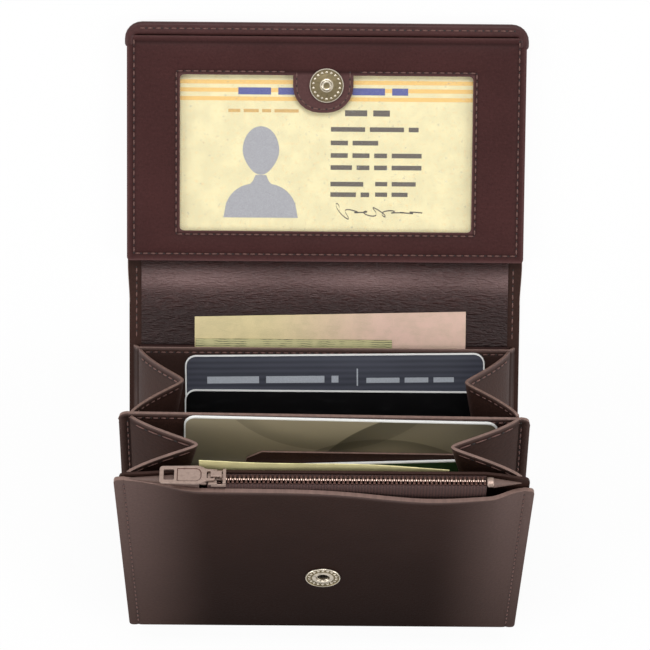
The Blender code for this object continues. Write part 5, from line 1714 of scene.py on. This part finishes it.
def make_teeth():
    """Each row: ribs that bend down over the tape, with a head where the rows meet whose brighter metal is a
    painted glint.
    """
    pitch = sizes().tooth_pitch
    half = pitch * 0.3
    top = TEETH_FOOT + TEETH_HEIGHT
    for word, side, start in (("front", 1, 0.75), ("rear", -1, 0.25)):
        ribs = bmesh.new()
        heads = bmesh.new()
        shoulder = ZIP_CENTRE + side * 0.0013
        inner = shoulder - side * 0.0005
        for index in range(int((TEETH_RIGHT - TEETH_LEFT) / pitch)):
            middle = TEETH_LEFT + (index + start) * pitch
            block(ribs, middle - half, middle + half, top - 0.0007, top - 0.0001, ZIP_CENTRE, shoulder)
            block(ribs, middle - half, middle + half, TEETH_FOOT - 0.0008, top - 0.00025, inner, shoulder)
            turn = face_matrix(POUCH, middle, top - 0.0003, ZIP_CENTRE + side * 0.00012)
            stretch = Matrix.Diagonal((pitch * 0.26, 0.00026, 0.0005, 1.0))
            bmesh.ops.create_uvsphere(heads, u_segments=8, v_segments=4, radius=1.0, matrix=turn @ stretch)
        piece = closed(f"teeth_{word}", ribs, ("teeth_metal_finish",), METAL_BEVEL, 2)
        seated(piece, "coin_pouch", "teeth_metal", f"zip_teeth_{word}")
        piece = object_of(f"teeth_heads_{word}", heads, ("teeth_head_finish",))
        seated(piece, "coin_pouch", "teeth_metal")


def curve_through(points, share):
    """A smooth line through (off, along) points."""
    reach = min(max(share, 0.0), 0.99999) * (len(points) - 1)
    index = int(reach)
    part = reach - index
    near = [Vector(points[min(max(index + step, 0), len(points) - 1)]) for step in (-1, 0, 1, 2)]
    first = near[1] * 2
    second = (near[2] - near[0]) * part
    third = (near[0] * 2 - near[1] * 5 + near[2] * 4 - near[3]) * part ** 2
    fourth = (near[1] * 3 - near[0] - near[2] * 3 + near[3]) * part ** 3
    return (first + second + third + fourth) * HALF


def make_tapes():
    inner = POUCH_FRONT_OFF + 0.07 * math.sin(POUCH_WEDGE)
    across = stations(TEETH_LEFT, (TEETH_RIGHT, 40))
    for word, row, line in (
        ("front", across, [
            (ZIP_CENTRE + 0.0009, 0.0722), (ZIP_CENTRE + 0.0015, 0.0722), (inner - 0.0002, 0.0712),
            (inner - 0.0004, 0.068), (inner - 0.0007, 0.0625),
        ]),
        ("rear", across[::-1], [
            (ZIP_CENTRE - 0.0009, 0.0722), (ZIP_CENTRE - 0.0015, 0.0724), (0.0007, 0.0722),
            (0.0006, 0.069), (0.0006, 0.0625),
        ]),
    ):
        def place(x, share, line=line):
            off, along = curve_through(line, share)
            return POUCH.at(x, along, off)

        piece = skin(
            f"tape_{word}", place, row, stations(0.0, (1.0, 16)), 0.0003, ("zip_tape_weave",),
            rounding=0.00005, metres=(1.0, 0.012),
        )
        seated(piece, "coin_pouch", "zip_tape", f"zip_tape_{word}")


def zip_plug(name, finish, slot, node, taper, place):
    """A round plug along the zip: a cone whose corners (share, along, off) are carried to their place."""
    maker = bmesh.new()
    made = bmesh.ops.create_cone(
        maker, cap_ends=True, cap_tris=False, segments=24, radius1=1.0, radius2=taper, depth=1.0,
    )
    for vert in made["verts"]:
        vert.co = place(vert.co.z + HALF, vert.co.y, vert.co.x)
    seated(closed(name, maker, (finish,), 0.0004, 3, 50), "coin_pouch", slot, node)


def make_zip_ends():
    """The folded tape at each end of the zip, and the stop beside each."""
    for hand, start, end, width in (("left", -0.0334, -0.0526, 0.0023), ("right", 0.0451, 0.0526, 0.0015)):
        def tab(share, up, out, start=start, end=end, width=width):
            x = start + (end - start) * share
            along = TEETH_FOOT + 0.0006 + up * width * 0.55
            off = ZIP_CENTRE + (0.0011 - ZIP_CENTRE) * share + out * width
            return POUCH.at(x, along, off + pouch_bend(x, along))

        zip_plug(f"tape_end_{hand}", "tape_end_weave", "zip_tape", f"zip_end_tab_{hand}", 0.12, tab)
    for hand, left in (("left", -0.03325), ("right", 0.0434)):
        def stop(share, up, out, left=left):
            along = TEETH_FOOT + TEETH_HEIGHT * HALF + up * 0.001
            return POUCH.at(left + 0.0019 * share, along, ZIP_CENTRE + out * 0.0015)

        zip_plug(f"end_stop_{hand}", "zip_metal_finish", "zip_metal", f"zip_stop_{hand}", 1.0, stop)


def make_slider():
    """Two plates over and under the teeth, with a bridge for the pull."""
    left = -0.0312
    right = -0.0262
    low = TEETH_FOOT + TEETH_HEIGHT + 0.0002
    high = low + 0.0007
    spine = (ZIP_CENTRE - 0.0009, ZIP_CENTRE + 0.0009)
    maker = bmesh.new()
    block(maker, right - 0.0009, right, low, high + 0.0004, ZIP_CENTRE - 0.0023, ZIP_CENTRE + 0.0023)
    block(maker, left, right - 0.0008, low, high, *spine)
    for side in (-1, 1):
        far = ZIP_CENTRE + side * 0.0024
        block(maker, left + 0.0002, right - 0.0024, low, high, ZIP_CENTRE + side * 0.0006, far)
        block(maker, left + 0.001, right, low - 0.0007, low + 0.0002, ZIP_CENTRE + side * 0.002, far)
    block(maker, left + 0.0009, left + 0.0014, high - 0.0001, high + 0.0011, *spine)
    block(maker, right - 0.0017, right - 0.0011, high - 0.0001, high + 0.0011, *spine)
    block(maker, left + 0.0009, right - 0.0011, high + 0.00095, high + 0.0014, *spine)
    piece = closed("slider_top", maker, ("zip_metal_finish",), METAL_BEVEL)
    seated(piece, "zip_slider", "zip_metal", "slider_body")
    maker = bmesh.new()
    block(maker, left + 0.0002, right - 0.0004, TEETH_FOOT - 0.0007, TEETH_FOOT - 0.0002, *spine)
    piece = closed("slider_foot", maker, ("zip_metal_finish",), 0.00012)
    seated(piece, "zip_slider", "zip_metal", "slider_base")


def make_pull():
    """The pull tab: a bevelled plate with an eye, a hole at its end and a sunk field between them."""
    low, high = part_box("pull_tab")
    pivot = Vector(JOINTS["pull_swing"]["pos_m"]) - POUCH.origin
    off = pivot.dot(POUCH.face)
    along = pivot.dot(POUCH.run)
    thickness = 0.0006
    left, right = low.x, high.x
    half = 0.0029
    outline = [
        (left, -half * 0.92, 0.0009), (right - 0.0042, -half, 0.0008), (right - 0.0022, -half * 0.62, 0.0005),
        (right, -half * 0.6, 0.0006),
    ]
    maker = bmesh.new()
    outlines(
        maker, outline + [(x, -y, radius) for x, y, radius in reversed(outline)],
        box_corners(left + 0.0011, left + 0.0039, -0.0017, 0.0017, 0.0004, 0.0004),
        box_corners(right - 0.0022, right - 0.0005, -0.0011, 0.0011, 0.0002, 0.0002),
    )
    outlined(maker, [
        (left + 0.0046, -0.0021, 0.0003), (right - 0.0036, -0.0021, 0.0016),
        (right - 0.0036, 0.0021, 0.0016), (left + 0.0046, 0.0021, 0.0003),
    ])
    bmesh.ops.triangle_fill(maker, use_beauty=True, normal=(0.0, 0.0, 1.0), edges=maker.edges)
    raised(maker, thickness)
    field = [
        face for face in maker.faces
        if len(face.verts) > 4 and face.calc_center_median().z > thickness * HALF
    ]
    wall = bmesh.ops.inset_region(maker, faces=field, thickness=0.00024, use_even_offset=True)
    for face in wall["faces"]:
        face.material_index = 1
    sunk = list({vert for face in field for vert in face.verts})
    bmesh.ops.translate(maker, verts=sunk, vec=(0.0, 0.0, -0.0002))
    for vert in maker.verts:
        lift = vert.co.z - thickness * HALF
        vert.co = POUCH.at(vert.co.x, along + lift, off - vert.co.y)
    piece = closed("pull_plate", maker, ("zip_metal_finish", "teeth_metal_finish"), METAL_BEVEL)
    seated(piece, "zip_pull", "zip_metal", "pull_tab")


def make_kept_nodes():
    """Finishes for the nodes that stay as they are."""
    film = Finish("window_film", False, Roughness=0.12)
    film.set("Base Color", (0.9, 0.9, 0.88))
    film.set("Alpha", 0.05 + film.ramp(film.noise(900.0, 3.0), 0.62, 0.8) * 0.16)
    film.set("Coat Weight", 0.3)
    for name, finish in (
        ("back_lining", "pocket_lining"), ("flap_lining", "pocket_lining"), ("id_window", "window_film"),
        ("socket_washer", STUD_FINISH[0]), ("socket_spring", STUD_FINISH[0]), ("stud_rivet", STUD_FINISH[0]),
    ):
        node = frame["nodes"][name]
        for slot in node.material_slots:
            slot.material = material(finish)
        if not node.material_slots:
            node.data.materials.append(material(finish))


def seen(tree):
    """1 for what the eye, a reflection or clear film shows, and 0 for the light that falls on the wallet."""
    path = tree.nodes.new("ShaderNodeLightPath")
    found = path.outputs["Is Camera Ray"]
    for ray in ("Is Glossy Ray", "Is Transmission Ray"):
        larger = tree.nodes.new("ShaderNodeMath")
        larger.operation = "MAXIMUM"
        tree.links.new(found, larger.inputs[0])
        tree.links.new(path.outputs[ray], larger.inputs[1])
        found = larger.outputs[0]
    return found


def floor_finish():
    """White to the eye and in reflections, with some of the light and shadow that falls on it."""
    made = Finish("floor_white", False, Roughness=0.9)
    made.set("Base Color", (0.86, 0.86, 0.86))
    glow = made.node("ShaderNodeEmission", values={"Color": (1.0, 1.0, 1.0), "Strength": 1.0})
    surface = made.node("ShaderNodeMixShader", values={
        0: Value(made, seen(made.tree)) * stage().floor_white,
        1: Value(made, made.shader.outputs[0]),
        2: glow,
    })
    made.join(made.tree.nodes["Material Output"].inputs["Surface"], surface)


def make_world():
    world = bpy.data.worlds.new("studio")
    world.use_nodes = True
    bpy.context.scene.world = world
    tree = world.node_tree
    background = tree.nodes["Background"]
    strength = tree.nodes.new("ShaderNodeMapRange")
    strength.inputs["To Min"].default_value = stage().ambient
    strength.inputs["To Max"].default_value = 1.0
    tree.links.new(seen(tree), strength.inputs["Value"])
    tree.links.new(strength.outputs[0], background.inputs["Strength"])
    background.inputs["Color"].default_value = (1.0, 1.0, 1.0, 1.0)


def turned(first, second, angle):
    """Two directions turned in their own plane."""
    along, across = math.cos(angle), math.sin(angle)
    return first * along - second * across, first * across + second * along


def make_camera():
    """The photograph's view: nearly straight down, from a little below the wallet."""
    view = stage()
    pitch, yaw, roll = view.pitch, view.yaw, view.roll
    up = Vector((0.0, math.cos(pitch), -math.sin(pitch)))
    back = Vector((0.0, math.sin(pitch), math.cos(pitch)))
    right, back = turned(Vector((1.0, 0.0, 0.0)), back, yaw)
    right, up = turned(right, up, -roll)
    lens = bpy.data.cameras.new("camera")
    lens.sensor_width = 36.0
    lens.lens = view.lens
    lens.clip_start = 0.01
    aim = Vector((0.00015, 0.0, 0.0))
    eye = aim + back * view.distance
    camera = bpy.data.objects.new("camera", lens)
    camera.matrix_world = Matrix.Translation(eye) @ Matrix((right, up, back)).transposed().to_4x4()
    bpy.context.scene.collection.objects.link(camera)
    bpy.context.scene.camera = camera


def lamp(name, place, size, power):
    """A soft rectangular lamp that faces the wallet."""
    light = bpy.data.lights.new(name, "AREA")
    light.shape = "RECTANGLE"
    light.size, light.size_y = size
    light.energy = power
    made = bpy.data.objects.new(name, light)
    made.location = place
    made.rotation_euler = (Vector((0.0, 0.0, 0.02)) - Vector(place)).to_track_quat("-Z", "Y").to_euler()
    bpy.context.scene.collection.objects.link(made)


def make_stage():
    floor_finish()
    maker = bmesh.new()
    bmesh.ops.create_grid(maker, x_segments=4, y_segments=4, size=3.0)
    object_of("floor", maker, ("floor_white",))
    make_world()
    lamp("overhead", (0.0, 0.75, 0.95), (1.0, 0.5), stage().overhead_power)
    lamp("left", (-0.85, -0.15, 0.42), (0.45, 0.7), stage().side_power)
    lamp("right", (0.85, -0.15, 0.42), (0.45, 0.7), stage().side_power)
    bpy.context.scene.view_settings.view_transform = "Standard"
    make_camera()


class Step:
    """What the operators share: each shows in the undo list."""

    bl_options = {"REGISTER", "UNDO"}


class WALLET_OT_stage(Step, bpy.types.Operator):
    """Add the floor, the lamps and the camera"""

    bl_idname = "wallet.stage"
    bl_label = "Stage"

    def execute(self, context):
        make_stage()
        return {"FINISHED"}


class WALLET_OT_shell(Step, bpy.types.Operator):
    """Add the outer leather, its lining and their seams"""

    bl_idname = "wallet.shell"
    bl_label = "Shell"

    def execute(self, context):
        make_shell()
        return {"FINISHED"}


class WALLET_OT_divider(Step, bpy.types.Operator):
    """Add the pocket leaf over the shell"""

    bl_idname = "wallet.divider"
    bl_label = "Bill divider"

    def execute(self, context):
        make_divider()
        return {"FINISHED"}


class WALLET_OT_middle_leaf(Step, bpy.types.Operator):
    """Add the middle leaf and its slot"""

    bl_idname = "wallet.middle_leaf"
    bl_label = "Middle leaf"

    def execute(self, context):
        make_middle_leaf()
        return {"FINISHED"}


class WALLET_OT_pouch(Step, bpy.types.Operator):
    """Add the front and the rear of the coin pouch"""

    bl_idname = "wallet.pouch"
    bl_label = "Coin pouch"

    def execute(self, context):
        make_pouch()
        return {"FINISHED"}


class WALLET_OT_gussets(Step, bpy.types.Operator):
    """Add the folded sides and the pleats"""

    bl_idname = "wallet.gussets"
    bl_label = "Gussets"

    def execute(self, context):
        make_gussets()
        return {"FINISHED"}


class WALLET_OT_cards(Step, bpy.types.Operator):
    """Add the cards in their pockets"""

    bl_idname = "wallet.cards"
    bl_label = "Cards"

    def execute(self, context):
        make_cards()
        return {"FINISHED"}


class WALLET_OT_notes(Step, bpy.types.Operator):
    """Add the notes in their pockets"""

    bl_idname = "wallet.notes"
    bl_label = "Notes"

    def execute(self, context):
        make_notes()
        return {"FINISHED"}


class WALLET_OT_flap(Step, bpy.types.Operator):
    """Add the window frame and the rolled edge"""

    bl_idname = "wallet.flap"
    bl_label = "Flap"

    def execute(self, context):
        make_flap()
        return {"FINISHED"}


class WALLET_OT_identity_card(Step, bpy.types.Operator):
    """Add the card behind the window"""

    bl_idname = "wallet.identity_card"
    bl_label = "Identity card"

    def execute(self, context):
        make_identity_card()
        return {"FINISHED"}


class WALLET_OT_studs(Step, bpy.types.Operator):
    """Add the stud and the socket"""

    bl_idname = "wallet.studs"
    bl_label = "Press-stud"

    def execute(self, context):
        make_stud()
        return {"FINISHED"}


class WALLET_OT_zip(Step, bpy.types.Operator):
    """Add the teeth, tapes, slider and pull"""

    bl_idname = "wallet.zip"
    bl_label = "Zip"

    def execute(self, context):
        make_teeth()
        make_tapes()
        make_zip_ends()
        make_slider()
        make_pull()
        return {"FINISHED"}


class WALLET_OT_kept_nodes(Step, bpy.types.Operator):
    """Finish the frame's own small pieces"""

    bl_idname = "wallet.kept_nodes"
    bl_label = "Small metal and film"

    def execute(self, context):
        make_kept_nodes()
        return {"FINISHED"}


OPERATORS = (
    WALLET_OT_stage,
    WALLET_OT_shell,
    WALLET_OT_divider,
    WALLET_OT_middle_leaf,
    WALLET_OT_pouch,
    WALLET_OT_gussets,
    WALLET_OT_cards,
    WALLET_OT_notes,
    WALLET_OT_flap,
    WALLET_OT_identity_card,
    WALLET_OT_studs,
    WALLET_OT_zip,
    WALLET_OT_kept_nodes,
)


class WALLET_PT_panel(bpy.types.Panel):
    """Lists the wallet's pieces."""

    bl_label = "Snap Wallet"
    bl_space_type = "VIEW_3D"
    bl_region_type = "UI"
    bl_category = "Wallet"

    def draw(self, context):
        for made in OPERATORS:
            self.layout.operator(made.bl_idname)
        for group in (context.scene.wallet_sizes, context.scene.wallet_colours, context.scene.wallet_stage):
            for name in group.__annotations__:
                self.layout.prop(group, name)


CLASSES = (WalletSizes, WalletColours, WalletStage, *OPERATORS, WALLET_PT_panel)


def register():
    for made in CLASSES:
        bpy.utils.register_class(made)
    bpy.types.Scene.wallet_sizes = bpy.props.PointerProperty(type=WalletSizes)
    bpy.types.Scene.wallet_colours = bpy.props.PointerProperty(type=WalletColours)
    bpy.types.Scene.wallet_stage = bpy.props.PointerProperty(type=WalletStage)


def unregister():
    del bpy.types.Scene.wallet_sizes
    del bpy.types.Scene.wallet_colours
    del bpy.types.Scene.wallet_stage
    for made in reversed(CLASSES):
        bpy.utils.unregister_class(made)


def main():
    register()
    for made in OPERATORS:
        group, name = made.bl_idname.split(".")
        getattr(getattr(bpy.ops, group), name)()


if __name__ == "__main__":
    main()
